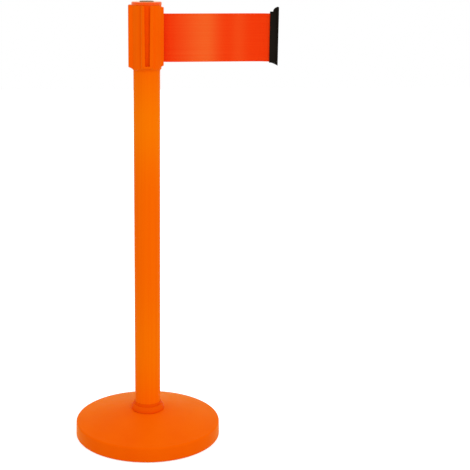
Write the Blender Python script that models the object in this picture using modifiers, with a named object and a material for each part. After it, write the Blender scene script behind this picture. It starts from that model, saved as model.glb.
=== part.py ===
"""Retractable belt barrier post: a weighted round base, a plastic tube and a belt cassette head.

Metres, +Z up. The origin is the centre of the underside, on the floor. The belt runs out along +X,
and the three receivers that take other posts' belt clips face -Y, -X and +Y.
"""

import math

import bmesh
import bpy
from mathutils import Matrix, Vector

# Clearance between pieces that touch, how far cutters run past a face, and the facets of a full circle
GAP = 0.0003
CUT_PAST = 0.005
WELD_DISTANCE = 0.000001
SHARP_DEGREES = 35.0
LARGE_STEPS = 60
MIDDLE_STEPS = 40
SPOOL_STEPS = 32
SMALL_STEPS = 24
BUSH_STEPS = 20
PIN_STEPS = 16
SCREW_STEPS = 12

# Base: a domed cover over a cast ballast, closed by a rubber sole
BASE_RADIUS = 0.160
BASE_WALL = 0.0035
RIM_HEIGHT = 0.0345
RIM_ROUND = 0.0045
RIM_LIFT = 0.0015
RIM_DRAFT = 0.0006
RIM_FOOT = 0.002
RIM_ROUND_START = 72.0
DOME_TOP = 0.058
DOME_FLAT_RADIUS = 0.038
DOME_CROWN = 0.28
SOLE_THICKNESS = 0.004
SOLE_CHAMFER = 0.001
SOLE_GROOVE_RADII = (0.142, 0.100)
SOLE_GROOVE_WIDTH = 0.006
SOLE_GROOVE_DEPTH = 0.0015

# Bolt that clamps the tube's foot plug, the cover and the ballast together
BOLT_RADIUS = 0.005
BOLT_HEAD_RADIUS = 0.0096
BOLT_HEAD_HEIGHT = 0.0062
WASHER_RADIUS = 0.015
WASHER_THICKNESS = 0.002
NUT_HEIGHT = 0.008
COUNTERBORE_RADIUS = 0.017
COUNTERBORE_TOP = 0.018

# Tube, its collar at the foot and the plugs in its ends
TUBE_RADIUS = 0.028
TUBE_WALL = 0.0025
PLUG_FLANGE = 0.003
PLUG_CHAMFER = 0.002
FOOT_PLUG_TOP = 0.098
TOP_PLUG_LENGTH = 0.036
COLLAR_RADIUS = 0.0362
COLLAR_NECK_RADIUS = 0.0296
COLLAR_TOP = 0.0775
COLLAR_NECK_BOTTOM = 0.0725
COLLAR_BEAD_TOP = 0.0718
COLLAR_BEAD_SIDE = 0.0615
COLLAR_BEAD_STEPS = 5
COLLAR_LIP = 0.0005
COLLAR_CHAMFER = 0.001
COLLAR_GROOVE = 0.0006
COLLAR_FOOT_STEP = 0.0009
COLLAR_FOOT_INSET = 0.0022

# Head housing: a round core with three receiver lobes and one belt exit lobe
HEAD_BOTTOM = 0.8165
HEAD_TOP = 0.9503
CAP_TOP = 0.957
CORE_RADIUS = 0.0316
CHAMBER_RADIUS = 0.0275
SOCKET_TOP = 0.824
FLOOR_TOP = 0.828
LOBE_HALF_WIDTH = 0.012
LOBE_CORNER = 0.0025
LOBE_FILLET = 0.003
RECEIVER_REACH = 0.0382
EXIT_REACH = 0.0352
EXIT_TOP = 0.9454
EXIT_BOTTOM = 0.8262
LOBE_TOP_ROUND = 0.0026
LOBE_TOP_ANGLES = (0.0, 35.0, 62.0, 86.0)
EXIT_TOP_STEP = 0.0004
UNDERSIDE_TAPER = ((0.0, 0.0292), (0.0014, 0.0298), (0.0036, 0.0328), (0.0056, 0.0370))
UNDERSIDE_HEIGHT = 0.0068
RECEIVER_DIRECTIONS = {"front": -90.0, "left": 180.0, "back": 90.0}

# Receiver slot: a T groove, open at the top, whose mouth narrows downwards
SLOT_FLOOR = 0.8265
SLOT_HALF_WIDTH = 0.0086
SLOT_BACK = 0.0318
SLOT_LIP = 0.0018
MOUTH_HALF_TOP = 0.0062
MOUTH_HALF_BOTTOM = 0.00465

# Belt, its roll and the rounded lip that it bends over on its way out
BELT_WIDTH = 0.100
BELT_BOTTOM = 0.8327
BELT_THICKNESS = 0.0008
BELT_SLIT_MARGIN = 0.001
ROLL_INNER = 0.0098
ROLL_OUTER = 0.0227
ROLL_LOOPS = 7
ROLL_STRIP = 0.0009
LOOP_POINTS = 16
LIP_CENTRE_X = 0.031
BELT_BEND_RADIUS = 0.004
BELT_WRAP_DEGREES = 150.0
BELT_STEPS = 12
LIP_CLEARANCE = 0.0005
LIP_STEPS = 5
SLIT_HALF_BELOW = 0.0016
SLIT_INNER_X = 0.021
SLIT_LIP_END = 160.0
EXIT_RECESS_FLOOR = 0.0318
EXIT_RECESS_HALF_WIDTH = 0.0050

# Belt end clip: a flat sleeve that steps out to a plate, and the rod in the belt's end loop
CLIP_INNER_X = 0.2575
CLIP_FOOT_X = 0.2600
CLIP_SWELL_X = 0.2640
CLIP_FLARE_X = 0.2704
CLIP_RIM_X = 0.2714
CLIP_OUTER_X = 0.2750
CLIP_SWELL_STEPS = 5
CLIP_FOOT_POWER = 1.5
CLIP_SLEEVE_HALF = 0.0043
CLIP_PLATE_HALF = 0.0080
CLIP_SLEEVE_BOTTOM = 0.8305
CLIP_SLEEVE_TOP = 0.9365
CLIP_PLATE_BOTTOM = 0.8243
CLIP_PLATE_TOP = 0.9461
CLIP_FOOT_TAPER = 0.82
CLIP_CORNER = 0.0018
CLIP_ROD_X = 0.2628
CLIP_ROD_RADIUS = 0.0016
BELT_LOOP_INNER = 0.0019
BELT_LOOP_OUTER = 0.0027
CLIP_BORE_RADIUS = 0.0031

# Spool on its fixed axle, with a spiral return spring in a cup above the belt
AXLE_RADIUS = 0.004
AXLE_BOTTOM = 0.800
AXLE_TOP = 0.9515
AXLE_SLOT_WIDTH = 0.0014
BUSH_INNER = 0.0043
BUSH_OUTER = 0.0062
BUSH_LENGTH = 0.012
BUSH_FLANGE_RADIUS = 0.0085
BUSH_FLANGE = 0.001
SPOOL_CORE_RADIUS = 0.009
SPOOL_BORE_RADIUS = 0.0065
SPOOL_STEP_RADIUS = 0.0052
FLANGE_RADIUS = 0.0263
FLANGE_THICKNESS = 0.002
SPRING_BOTTOM = 0.9363
SPRING_WIDTH = 0.007
SPRING_STRIP = 0.0006
SPRING_LOOPS = 7
SPRING_INNER = 0.0062
SPRING_OUTER = 0.0232
SPRING_TAIL = (0.0012, 0.0044)
SPRING_CUP_TOP = 0.9445
SPRING_CUP_WALL = 0.0018
SPRING_LID_THICKNESS = 0.001

# Cap with a bare inlay disc, and the screws that hold the head on the tube's top plug
CAP_ROUND = 0.0026
CAP_SKIRT_RADIUS = 0.0272
CAP_SKIRT_BOTTOM = 0.9472
CAP_WALL = 0.0028
CAP_SKIRT_WALL = 0.002
CAP_BOSS_WALL = 0.003
INLAY_RADIUS = 0.0145
INLAY_RECESS = 0.0008
INLAY_PROUD = 0.0016
INLAY_CHAMFER = 0.0004
SCREW_CIRCLE = 0.017
SCREW_RADIUS = 0.0017
SCREW_HEAD_RADIUS = 0.0034
SCREW_HEAD_SIDE = 0.0007
SCREW_HEAD_TOP = 0.0017
SCREW_FLAT_RADIUS = 0.0020
SCREW_BOTTOM = 0.806
SCREW_POCKET = 0.0026
SCREW_ANGLES = (60.0, 180.0, 300.0)

for old in list(bpy.data.objects):
    bpy.data.objects.remove(old, do_unlink=True)

PARTS = bpy.data.collections.new("belt_barrier_post")
CUTTERS = bpy.data.collections.new("belt_barrier_post_cutters")
for group in (PARTS, CUTTERS):
    bpy.context.scene.collection.children.link(group)
CUTTERS.hide_render = True


def finish(name, colour, roughness, metallic=0.0):
    """A Principled material with the piece's plain colour."""
    made = bpy.data.materials.new(name)
    made.use_nodes = True
    shader = made.node_tree.nodes["Principled BSDF"]
    shader.inputs["Base Color"].default_value = (*colour, 1.0)
    shader.inputs["Roughness"].default_value = roughness
    shader.inputs["Metallic"].default_value = metallic
    return made


ORANGE = finish("orange_moulded_plastic", (0.88, 0.115, 0.0), 0.42)
ORANGE_TUBE = finish("orange_tube_plastic", (0.88, 0.12, 0.002), 0.35)
WEBBING = finish("red_orange_webbing", (0.93, 0.05, 0.006), 0.6)
BLACK = finish("black_clip_plastic", (0.012, 0.011, 0.010), 0.45)
GREY = finish("grey_brown_inlay", (0.20, 0.14, 0.09), 0.6)
NATURAL = finish("natural_inner_plastic", (0.62, 0.60, 0.55), 0.5)
BALLAST = finish("cast_ballast", (0.30, 0.29, 0.28), 0.9)
RUBBER = finish("black_rubber", (0.02, 0.02, 0.02), 0.8)
ZINC = finish("zinc_plated_steel", (0.58, 0.59, 0.60), 0.35, 1.0)
SPRING_STEEL = finish("blue_spring_steel", (0.22, 0.24, 0.28), 0.3, 1.0)


def placed(obj, material, collection=PARTS):
    """Links an object into its collection and gives it its material."""
    collection.objects.link(obj)
    obj.data.materials.clear()
    obj.data.materials.append(material)
    return obj


def mesh_object(name, mesh, material):
    """An object round a finished mesh, shaded smooth except across sharp edges."""
    mesh.shade_smooth()
    mesh.set_sharp_from_angle(angle=math.radians(SHARP_DEGREES))
    return placed(bpy.data.objects.new(name, mesh), material)


def turned(name, profile, material, steps=MIDDLE_STEPS, closed=True):
    """A turned piece: (radius, height) points, down the outer side, spun about Z by a Screw modifier.

    An open profile starts and ends on the axis, and a closed one is the section of a ring.
    """
    mesh = bpy.data.meshes.new(name)
    edges = [(i, i + 1) for i in range(len(profile) - 1)]
    if closed:
        edges.append((len(profile) - 1, 0))
    mesh.from_pydata([(radius, 0.0, height) for radius, height in profile], edges, [])
    obj = placed(bpy.data.objects.new(name, mesh), material)
    screw = obj.modifiers.new("Turn", "SCREW")
    screw.axis = "Z"
    screw.steps = steps
    screw.render_steps = steps
    screw.use_merge_vertices = True
    screw.merge_threshold = WELD_DISTANCE
    screw.use_smooth_shade = True
    return obj


def arc(centre, radius, start, end, segments):
    """Points on an arc about centre, from start to end in degrees, both ends included."""
    found = []
    for i in range(segments + 1):
        angle = math.radians(start + (end - start) * i / segments)
        found.append((centre[0] + radius * math.cos(angle), centre[1] + radius * math.sin(angle)))
    return found


def extruded(name, outlines, low, high, material):
    """A flat outline in XY, with any holes after it, extruded from low to high and made one mesh."""
    curve = bpy.data.curves.new(name, "CURVE")
    curve.dimensions = "2D"
    curve.fill_mode = "BOTH"
    curve.extrude = (high - low) / 2
    for outline in outlines:
        spline = curve.splines.new("POLY")
        spline.points.add(len(outline) - 1)
        for point, (x, y) in zip(spline.points, outline):
            point.co = (x, y, 0.0, 1.0)
        spline.use_cyclic_u = True
    guide = bpy.data.objects.new(name + "_outline", curve)
    guide.location.z = (high + low) / 2
    bpy.context.scene.collection.objects.link(guide)
    bpy.context.view_layer.update()
    graph = bpy.context.evaluated_depsgraph_get()
    mesh = bpy.data.meshes.new_from_object(guide.evaluated_get(graph))
    mesh.transform(guide.matrix_world)
    bpy.data.objects.remove(guide)
    welded = bmesh.new()
    welded.from_mesh(mesh)
    bmesh.ops.remove_doubles(welded, verts=welded.verts, dist=WELD_DISTANCE)
    bmesh.ops.recalc_face_normals(welded, faces=welded.faces)
    welded.to_mesh(mesh)
    welded.free()
    mesh.name = name
    return mesh_object(name, mesh, material)


def lofted(name, sections, material):
    """A closed body through rings of points of one count, with flat ends."""
    body = bmesh.new()
    rings = [[body.verts.new(point) for point in section] for section in sections]
    count = len(rings[0])
    for low, high in zip(rings, rings[1:]):
        for i in range(count):
            j = (i + 1) % count
            body.faces.new((low[i], low[j], high[j], high[i]))
    body.faces.new(rings[0])
    body.faces.new(rings[-1])
    bmesh.ops.recalc_face_normals(body, faces=body.faces)
    mesh = bpy.data.meshes.new(name)
    body.to_mesh(mesh)
    body.free()
    return mesh_object(name, mesh, material)


def cut(target, cutter, operation="DIFFERENCE"):
    """Takes cutter out of target, or joins it, with a live Boolean, and hides it among the cutters."""
    for collection in list(cutter.users_collection):
        collection.objects.unlink(cutter)
    CUTTERS.objects.link(cutter)
    cutter.hide_render = True
    cutter.display_type = "WIRE"
    boolean = target.modifiers.new("Cut " + cutter.name, "BOOLEAN")
    boolean.operation = operation
    boolean.solver = "EXACT"
    boolean.object = cutter


def round_cutter(name, centre, radius, low, high, steps=SMALL_STEPS):
    """An upright round cutter."""
    mesh = bpy.data.meshes.new(name)
    body = bmesh.new()
    bmesh.ops.create_cone(
        body, cap_ends=True, segments=steps, radius1=radius, radius2=radius, depth=high - low,
        matrix=Matrix.Translation((centre[0], centre[1], (low + high) / 2)),
    )
    body.to_mesh(mesh)
    body.free()
    return mesh_object(name, mesh, NATURAL)


def box_cutter(name, low, high):
    """A cutter between two opposite corners."""
    mesh = bpy.data.meshes.new(name)
    body = bmesh.new()
    size = Vector(high) - Vector(low)
    middle = (Vector(high) + Vector(low)) / 2
    fit = Matrix.Translation(middle) @ Matrix.Diagonal((*size, 1.0))
    bmesh.ops.create_cube(body, size=1.0, matrix=fit)
    body.to_mesh(mesh)
    body.free()
    return mesh_object(name, mesh, NATURAL)


def ring(radius, steps, centre=(0.0, 0.0)):
    """Points of a full circle, or of a regular polygon, with no point twice."""
    return arc(centre, radius, 0.0, 360.0, steps)[:-1]


def dome_height(radius):
    """Height of the cover's top: from the rim's edge, a little crowned, up to the flat under the collar."""
    rim_edge = BASE_RADIUS - RIM_ROUND
    run = (rim_edge - radius) / (rim_edge - DOME_FLAT_RADIUS)
    return RIM_HEIGHT + (DOME_TOP - RIM_HEIGHT) * run * (1 + DOME_CROWN - DOME_CROWN * run)


def dome_points(inset, drop, count):
    """Points of the dome from its flat out to the rim, drawn in by inset and lowered by drop."""
    outer = BASE_RADIUS - RIM_ROUND - inset
    radii = [DOME_FLAT_RADIUS + (outer - DOME_FLAT_RADIUS) * i / count for i in range(count + 1)]
    return [(radius, dome_height(radius) - drop) for radius in radii]


# Base cover, ballast and sole
BOLT_HOLE = BOLT_RADIUS + 2 * GAP
cover_inner = BASE_RADIUS - BASE_WALL
rim_round_centre = (BASE_RADIUS - RIM_ROUND, RIM_HEIGHT - RIM_ROUND)
cover_profile = [(BOLT_HOLE, DOME_TOP)]
cover_profile += dome_points(0.0, 0.0, 6)
cover_profile += arc(rim_round_centre, RIM_ROUND, RIM_ROUND_START, 0.0, 3)
cover_profile += [
    (BASE_RADIUS + RIM_DRAFT, RIM_LIFT + RIM_FOOT),
    (BASE_RADIUS - RIM_DRAFT, RIM_LIFT),
    (cover_inner, RIM_LIFT),
    (cover_inner, RIM_HEIGHT - RIM_ROUND),
]
cover_profile += dome_points(BASE_WALL, BASE_WALL, 4)[::-1]
cover_profile += [(BOLT_HOLE, DOME_TOP - BASE_WALL)]
turned("base_cover", cover_profile, ORANGE, LARGE_STEPS)

ballast_top = BASE_WALL + 2 * GAP
ballast_profile = [(BOLT_HOLE, DOME_TOP - ballast_top)]
ballast_profile += dome_points(2 * BASE_WALL, ballast_top, 4)
ballast_profile += [
    (cover_inner - GAP, RIM_HEIGHT - 2 * RIM_ROUND),
    (cover_inner - GAP, SOLE_THICKNESS + GAP),
    (COUNTERBORE_RADIUS, SOLE_THICKNESS + GAP),
    (COUNTERBORE_RADIUS, COUNTERBORE_TOP),
    (BOLT_HOLE, COUNTERBORE_TOP),
]
turned("base_weight", ballast_profile, BALLAST)

sole_radius = cover_inner - GAP
sole_profile = [
    (0.0, SOLE_THICKNESS),
    (sole_radius, SOLE_THICKNESS),
    (sole_radius, SOLE_CHAMFER),
    (sole_radius - SOLE_CHAMFER, 0.0),
]
for groove in SOLE_GROOVE_RADII:
    sole_profile += [
        (groove + SOLE_GROOVE_WIDTH / 2, 0.0),
        (groove + SOLE_GROOVE_WIDTH / 2, SOLE_GROOVE_DEPTH),
        (groove - SOLE_GROOVE_WIDTH / 2, SOLE_GROOVE_DEPTH),
        (groove - SOLE_GROOVE_WIDTH / 2, 0.0),
    ]
sole_profile += [(0.0, 0.0)]
turned("base_sole", sole_profile, RUBBER, MIDDLE_STEPS, closed=False)

# Clamp bolt, from below through ballast, cover and foot plug, with its nut on the plug
washer_top = COUNTERBORE_TOP - GAP
washer_bottom = washer_top - WASHER_THICKNESS
washer_outlines = [ring(WASHER_RADIUS, SMALL_STEPS), ring(BOLT_HOLE, SMALL_STEPS)]
extruded("base_washer", washer_outlines, washer_bottom, washer_top, ZINC)
nut_bottom = FOOT_PLUG_TOP + GAP
bolt_head_top = washer_bottom - GAP
bolt_end = nut_bottom + NUT_HEIGHT + BOLT_RADIUS
bolt_head_bottom = bolt_head_top - BOLT_HEAD_HEIGHT
bolt = extruded("base_bolt", [ring(BOLT_HEAD_RADIUS, 6)], bolt_head_bottom, bolt_head_top, ZINC)
shank = round_cutter("base_bolt_shank", (0, 0), BOLT_RADIUS, bolt_head_top - BOLT_RADIUS, bolt_end)
cut(bolt, shank, "UNION")
nut_outlines = [ring(BOLT_HEAD_RADIUS, 6), ring(BOLT_RADIUS + GAP, SMALL_STEPS)]
extruded("base_nut", nut_outlines, nut_bottom, nut_bottom + NUT_HEIGHT, ZINC)

# Tube, the flanged plug in its foot, the plain plug in its top and the collar over the foot joint
plug_radius = TUBE_RADIUS - TUBE_WALL - GAP
plug_bottom = DOME_TOP + GAP
tube_bottom = plug_bottom + PLUG_FLANGE + GAP
tube_top = SOCKET_TOP - GAP
turned(
    "foot_plug",
    [
        (BOLT_HOLE, FOOT_PLUG_TOP),
        (plug_radius - PLUG_CHAMFER, FOOT_PLUG_TOP),
        (plug_radius, FOOT_PLUG_TOP - PLUG_CHAMFER),
        (plug_radius, plug_bottom + PLUG_FLANGE),
        (TUBE_RADIUS, plug_bottom + PLUG_FLANGE),
        (TUBE_RADIUS, plug_bottom),
        (BOLT_HOLE, plug_bottom),
    ],
    NATURAL,
    SMALL_STEPS,
)
tube_inner = TUBE_RADIUS - TUBE_WALL
tube_outlines = [ring(TUBE_RADIUS, MIDDLE_STEPS), ring(tube_inner, MIDDLE_STEPS)]
extruded("post_tube", tube_outlines, tube_bottom, tube_top, ORANGE_TUBE)
collar_bore = TUBE_RADIUS + GAP
collar_bottom = DOME_TOP + GAP
bead_rise = COLLAR_BEAD_TOP - COLLAR_BEAD_SIDE
bead_reach = COLLAR_RADIUS - COLLAR_NECK_RADIUS
collar_profile = [
    (collar_bore, COLLAR_TOP),
    (COLLAR_NECK_RADIUS - COLLAR_LIP, COLLAR_TOP),
    (COLLAR_NECK_RADIUS, COLLAR_TOP - COLLAR_CHAMFER),
    (COLLAR_NECK_RADIUS, COLLAR_NECK_BOTTOM),
    (COLLAR_NECK_RADIUS - COLLAR_GROOVE, COLLAR_BEAD_TOP),
]
for across, up in arc((0.0, 0.0), 1.0, 90.0, 0.0, COLLAR_BEAD_STEPS)[1:]:
    collar_profile.append((COLLAR_NECK_RADIUS + bead_reach * across, COLLAR_BEAD_SIDE + bead_rise * up))
collar_profile += [
    (COLLAR_RADIUS - COLLAR_FOOT_STEP, collar_bottom + COLLAR_FOOT_STEP),
    (COLLAR_RADIUS - COLLAR_FOOT_INSET, collar_bottom),
    (collar_bore, collar_bottom),
]
turned("post_collar", collar_profile, ORANGE)

top_plug = turned(
    "top_plug",
    [
        (BUSH_INNER, tube_top),
        (plug_radius, tube_top),
        (plug_radius, tube_top - TOP_PLUG_LENGTH + PLUG_CHAMFER),
        (plug_radius - PLUG_CHAMFER, tube_top - TOP_PLUG_LENGTH),
        (BUSH_INNER, tube_top - TOP_PLUG_LENGTH),
    ],
    NATURAL,
    SMALL_STEPS,
)


def lobe_half(reach, half_width, core):
    """Half a lobe's outline in (across, out) from the core's circle to the middle of its face.

    A fillet leaves the core, the side runs straight out, and a rounded corner turns on to the face.
    """
    side = half_width + LOBE_FILLET
    centre_out = math.sqrt((core + LOBE_FILLET) ** 2 - side**2)
    meets = math.degrees(math.atan2(-centre_out, -side))
    points = arc((side, centre_out), LOBE_FILLET, meets, -180.0, 3)
    corner = (half_width - LOBE_CORNER, reach - LOBE_CORNER)
    return points + arc(corner, LOBE_CORNER, 0.0, 90.0, 3)


def head_outline(height, inset, round_in, exit_there):
    """Ring of points round the head at one height: core arcs between four lobes, drawn in by inset.

    The lobes' faces are drawn in by round_in, and where the exit lobe isn't there, it lies on the core.
    """
    core = CORE_RADIUS - inset
    points = []
    for direction in (0.0, 90.0, 180.0, 270.0):
        reach = (EXIT_REACH if direction == 0.0 else RECEIVER_REACH) - round_in
        half = lobe_half(max(reach, core + LOBE_CORNER + GAP), LOBE_HALF_WIDTH - inset, core)
        lobe = half + [(-across, out) for across, out in half[::-1]]
        start = math.degrees(math.atan2(lobe[0][1], lobe[0][0]))
        between = arc((0, 0), core, start - 2 * (start - 45.0), start, 4)[1:-1]
        for across, out in between + lobe:
            if direction == 0.0 and not exit_there and out > 0 and (across, out) in lobe:
                shrink = core / math.hypot(across, out)
                across, out = across * shrink, out * shrink
            turn = math.radians(direction - 90.0)
            points.append(
                (
                    across * math.cos(turn) - out * math.sin(turn),
                    across * math.sin(turn) + out * math.cos(turn),
                    height,
                )
            )
    return points


def kept_within(section, radius):
    """The ring with points outside a radius drawn straight in to it."""
    found = []
    for x, y, z in section:
        share = min(1.0, radius / math.hypot(x, y))
        found.append((x * share, y * share, z))
    return found


# Head housing: the outside is one loft, with a tapered underside and rounded lobe tops
sections = []
for rise, radius in UNDERSIDE_TAPER:
    sections.append(kept_within(head_outline(HEAD_BOTTOM + rise, 0.0, 0.0, False), radius))
sections += [
    head_outline(HEAD_BOTTOM + UNDERSIDE_HEIGHT, 0.0, 0.0, False),
    head_outline(EXIT_BOTTOM, 0.0, 0.0, True),
    head_outline(EXIT_TOP, 0.0, 0.0, True),
    head_outline(EXIT_TOP + EXIT_TOP_STEP, 0.0, 0.0, False),
]
for angle in LOBE_TOP_ANGLES:
    turn = math.radians(angle)
    drawn_in = LOBE_TOP_ROUND * (1 - math.cos(turn))
    level = HEAD_TOP - LOBE_TOP_ROUND * (1 - math.sin(turn))
    sections.append(head_outline(level, drawn_in / 4, drawn_in, False))
housing = lofted("head_housing", sections, ORANGE)

cutter_top = HEAD_TOP + CUT_PAST
socket_bottom = HEAD_BOTTOM - CUT_PAST
cut(housing, round_cutter("chamber_bore", (0, 0), CHAMBER_RADIUS, FLOOR_TOP, cutter_top, MIDDLE_STEPS))
socket_radius = TUBE_RADIUS + GAP
cut(housing, round_cutter("tube_socket", (0, 0), socket_radius, socket_bottom, SOCKET_TOP, MIDDLE_STEPS))
cut(housing, round_cutter("axle_hole", (0, 0), BUSH_INNER, SOCKET_TOP - CUT_PAST, FLOOR_TOP + CUT_PAST))

# Receivers: a wide groove behind two lips, and a mouth between the lips that narrows downwards
mouth_slope = (MOUTH_HALF_TOP - MOUTH_HALF_BOTTOM) / (HEAD_TOP - SLOT_FLOOR)
mouth_half_at_cutter_top = MOUTH_HALF_BOTTOM + mouth_slope * (cutter_top - SLOT_FLOOR)
slot_front = RECEIVER_REACH - SLOT_LIP
for side, direction in RECEIVER_DIRECTIONS.items():
    turn = Matrix.Rotation(math.radians(direction), 4, "Z")
    groove = box_cutter(
        "receiver_groove_" + side,
        (SLOT_BACK, -SLOT_HALF_WIDTH, SLOT_FLOOR),
        (slot_front, SLOT_HALF_WIDTH, cutter_top),
    )
    mouth_rings = []
    for half, height in ((MOUTH_HALF_BOTTOM, SLOT_FLOOR), (mouth_half_at_cutter_top, cutter_top)):
        near = slot_front - SLOT_LIP
        far = RECEIVER_REACH + CUT_PAST
        corners = ((near, -half), (far, -half), (far, half), (near, half))
        mouth_rings.append([(out, across, height) for out, across in corners])
    mouth = lofted("receiver_mouth_" + side, mouth_rings, NATURAL)
    for cutter in (groove, mouth):
        cutter.data.transform(turn)
        cut(housing, cutter)

# Belt exit: a slit with a rounded inner lip on one side, and a shallow recess that parks the clip's sleeve
lip_radius = BELT_BEND_RADIUS - BELT_THICKNESS / 2 - LIP_CLEARANCE
lip_centre = (LIP_CENTRE_X, BELT_BEND_RADIUS)
slit_outline = [
    (SLIT_INNER_X, -SLIT_HALF_BELOW),
    (EXIT_REACH + CUT_PAST, -SLIT_HALF_BELOW),
    (EXIT_REACH + CUT_PAST, BELT_BEND_RADIUS - lip_radius),
]
slit_outline += arc(lip_centre, lip_radius, 270.0, SLIT_LIP_END, LIP_STEPS + 1)
slit_outline += [(SLIT_INNER_X, slit_outline[-1][1])]
slit_bottom = BELT_BOTTOM - BELT_SLIT_MARGIN
slit_top = BELT_BOTTOM + BELT_WIDTH + BELT_SLIT_MARGIN
cut(housing, extruded("belt_slit", [slit_outline], slit_bottom, slit_top, NATURAL))
cut(
    housing,
    box_cutter(
        "clip_recess",
        (EXIT_RECESS_FLOOR, -EXIT_RECESS_HALF_WIDTH, CLIP_SLEEVE_BOTTOM - 2 * BELT_SLIT_MARGIN),
        (EXIT_REACH + CUT_PAST, EXIT_RECESS_HALF_WIDTH, CLIP_SLEEVE_TOP + 2 * BELT_SLIT_MARGIN),
    ),
)

# Head screws: down through the housing's floor into the tube's top plug
for number, angle in enumerate(SCREW_ANGLES, start=1):
    turn = math.radians(angle)
    centre = (SCREW_CIRCLE * math.cos(turn), SCREW_CIRCLE * math.sin(turn))
    pocket_floor = FLOOR_TOP - SCREW_POCKET
    pocket_top = FLOOR_TOP + CUT_PAST
    pilot_bottom = SCREW_BOTTOM - SCREW_RADIUS
    hole = SCREW_RADIUS + GAP
    pocket = SCREW_HEAD_RADIUS + GAP
    label = str(number)
    cut(housing, round_cutter("screw_pocket_" + label, centre, pocket, pocket_floor, pocket_top, PIN_STEPS))
    cut(housing, round_cutter("screw_hole_" + label, centre, hole, HEAD_BOTTOM, pocket_top, SCREW_STEPS))
    cut(top_plug, round_cutter("screw_pilot_" + label, centre, hole, pilot_bottom, FLOOR_TOP, SCREW_STEPS))
    head_bottom = pocket_floor + GAP
    screw = turned(
        "head_screw_" + label,
        [
            (0.0, head_bottom + SCREW_HEAD_TOP),
            (SCREW_FLAT_RADIUS, head_bottom + SCREW_HEAD_TOP),
            (SCREW_HEAD_RADIUS, head_bottom + SCREW_HEAD_SIDE),
            (SCREW_HEAD_RADIUS, head_bottom),
            (SCREW_RADIUS, head_bottom),
            (SCREW_RADIUS, SCREW_BOTTOM + 2 * SCREW_RADIUS),
            (0.0, SCREW_BOTTOM),
        ],
        ZINC,
        SCREW_STEPS,
        closed=False,
    )
    screw.location = (centre[0], centre[1], 0.0)

# Fixed axle, slotted where the spring's inner end hooks in
axle = turned(
    "axle",
    [(0.0, AXLE_TOP), (AXLE_RADIUS, AXLE_TOP), (AXLE_RADIUS, AXLE_BOTTOM), (0.0, AXLE_BOTTOM)],
    ZINC,
    SMALL_STEPS,
    closed=False,
)
cut(
    axle,
    box_cutter(
        "axle_slot",
        (0.0, -AXLE_SLOT_WIDTH / 2, SPRING_BOTTOM - 2 * GAP),
        (2 * AXLE_RADIUS, AXLE_SLOT_WIDTH / 2, SPRING_BOTTOM + SPRING_WIDTH + 2 * GAP),
    ),
)

# Spool: a core with a lower flange, a bush in each end, and the spring cup as its upper flange
bush_flange_bottom = FLOOR_TOP + GAP
flange_bottom = bush_flange_bottom + BUSH_FLANGE + GAP
cup_bottom = BELT_BOTTOM + BELT_WIDTH + BELT_SLIT_MARGIN
spool_top = cup_bottom - GAP
step_low = flange_bottom + BUSH_LENGTH + GAP
step_high = spool_top - BUSH_LENGTH - GAP
spool = turned(
    "spool",
    [
        (SPOOL_CORE_RADIUS, spool_top),
        (SPOOL_CORE_RADIUS, flange_bottom + FLANGE_THICKNESS),
        (FLANGE_RADIUS, flange_bottom + FLANGE_THICKNESS),
        (FLANGE_RADIUS, flange_bottom),
        (SPOOL_BORE_RADIUS, flange_bottom),
        (SPOOL_BORE_RADIUS, step_low),
        (SPOOL_STEP_RADIUS, step_low),
        (SPOOL_STEP_RADIUS, step_high),
        (SPOOL_BORE_RADIUS, step_high),
        (SPOOL_BORE_RADIUS, spool_top),
    ],
    NATURAL,
    SPOOL_STEPS,
)
lower_bush = turned(
    "lower_bush",
    [
        (BUSH_OUTER, flange_bottom + BUSH_LENGTH),
        (BUSH_OUTER, bush_flange_bottom + BUSH_FLANGE),
        (BUSH_FLANGE_RADIUS, bush_flange_bottom + BUSH_FLANGE),
        (BUSH_FLANGE_RADIUS, bush_flange_bottom),
        (BUSH_INNER, bush_flange_bottom),
        (BUSH_INNER, flange_bottom + BUSH_LENGTH),
    ],
    BLACK,
    BUSH_STEPS,
)
bush_outlines = [ring(BUSH_OUTER, BUSH_STEPS), ring(BUSH_INNER, BUSH_STEPS)]
upper_bush = extruded("upper_bush", bush_outlines, spool_top - BUSH_LENGTH, spool_top - GAP, BLACK)
cup_floor = cup_bottom + FLANGE_THICKNESS
spring_cup = turned(
    "spring_cup",
    [
        (FLANGE_RADIUS, SPRING_CUP_TOP),
        (FLANGE_RADIUS, cup_bottom),
        (BUSH_INNER, cup_bottom),
        (BUSH_INNER, cup_floor),
        (FLANGE_RADIUS - SPRING_CUP_WALL, cup_floor),
        (FLANGE_RADIUS - SPRING_CUP_WALL, SPRING_CUP_TOP),
    ],
    NATURAL,
    SPOOL_STEPS,
)
lid_bottom = SPRING_CUP_TOP + GAP
lid_outlines = [ring(FLANGE_RADIUS, SPOOL_STEPS), ring(BUSH_INNER + GAP, SPOOL_STEPS)]
spring_lid = extruded("spring_lid", lid_outlines, lid_bottom, lid_bottom + SPRING_LID_THICKNESS, ZINC)


def spiral_line(inner, outer, loops, per_loop):
    """Points of a flat spiral whose radius grows evenly with angle, turning anticlockwise as it opens."""
    count = loops * per_loop
    found = []
    for i in range(count + 1):
        radius = inner + (outer - inner) * i / count
        angle = 2 * math.pi * i / per_loop
        found.append(Vector((radius * math.cos(angle), radius * math.sin(angle))))
    return found


def strip_outline(line, thickness):
    """Both edges of a strip that follows a line, as one outline: the left edge out, the right edge back."""
    left, right = [], []
    for i, point in enumerate(line):
        along = (line[min(i + 1, len(line) - 1)] - line[max(i - 1, 0)]).normalized()
        across = Vector((-along.y, along.x)) * thickness / 2
        left.append(point + across)
        right.append(point - across)
    return [tuple(point) for point in left + right[::-1]]


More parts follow.
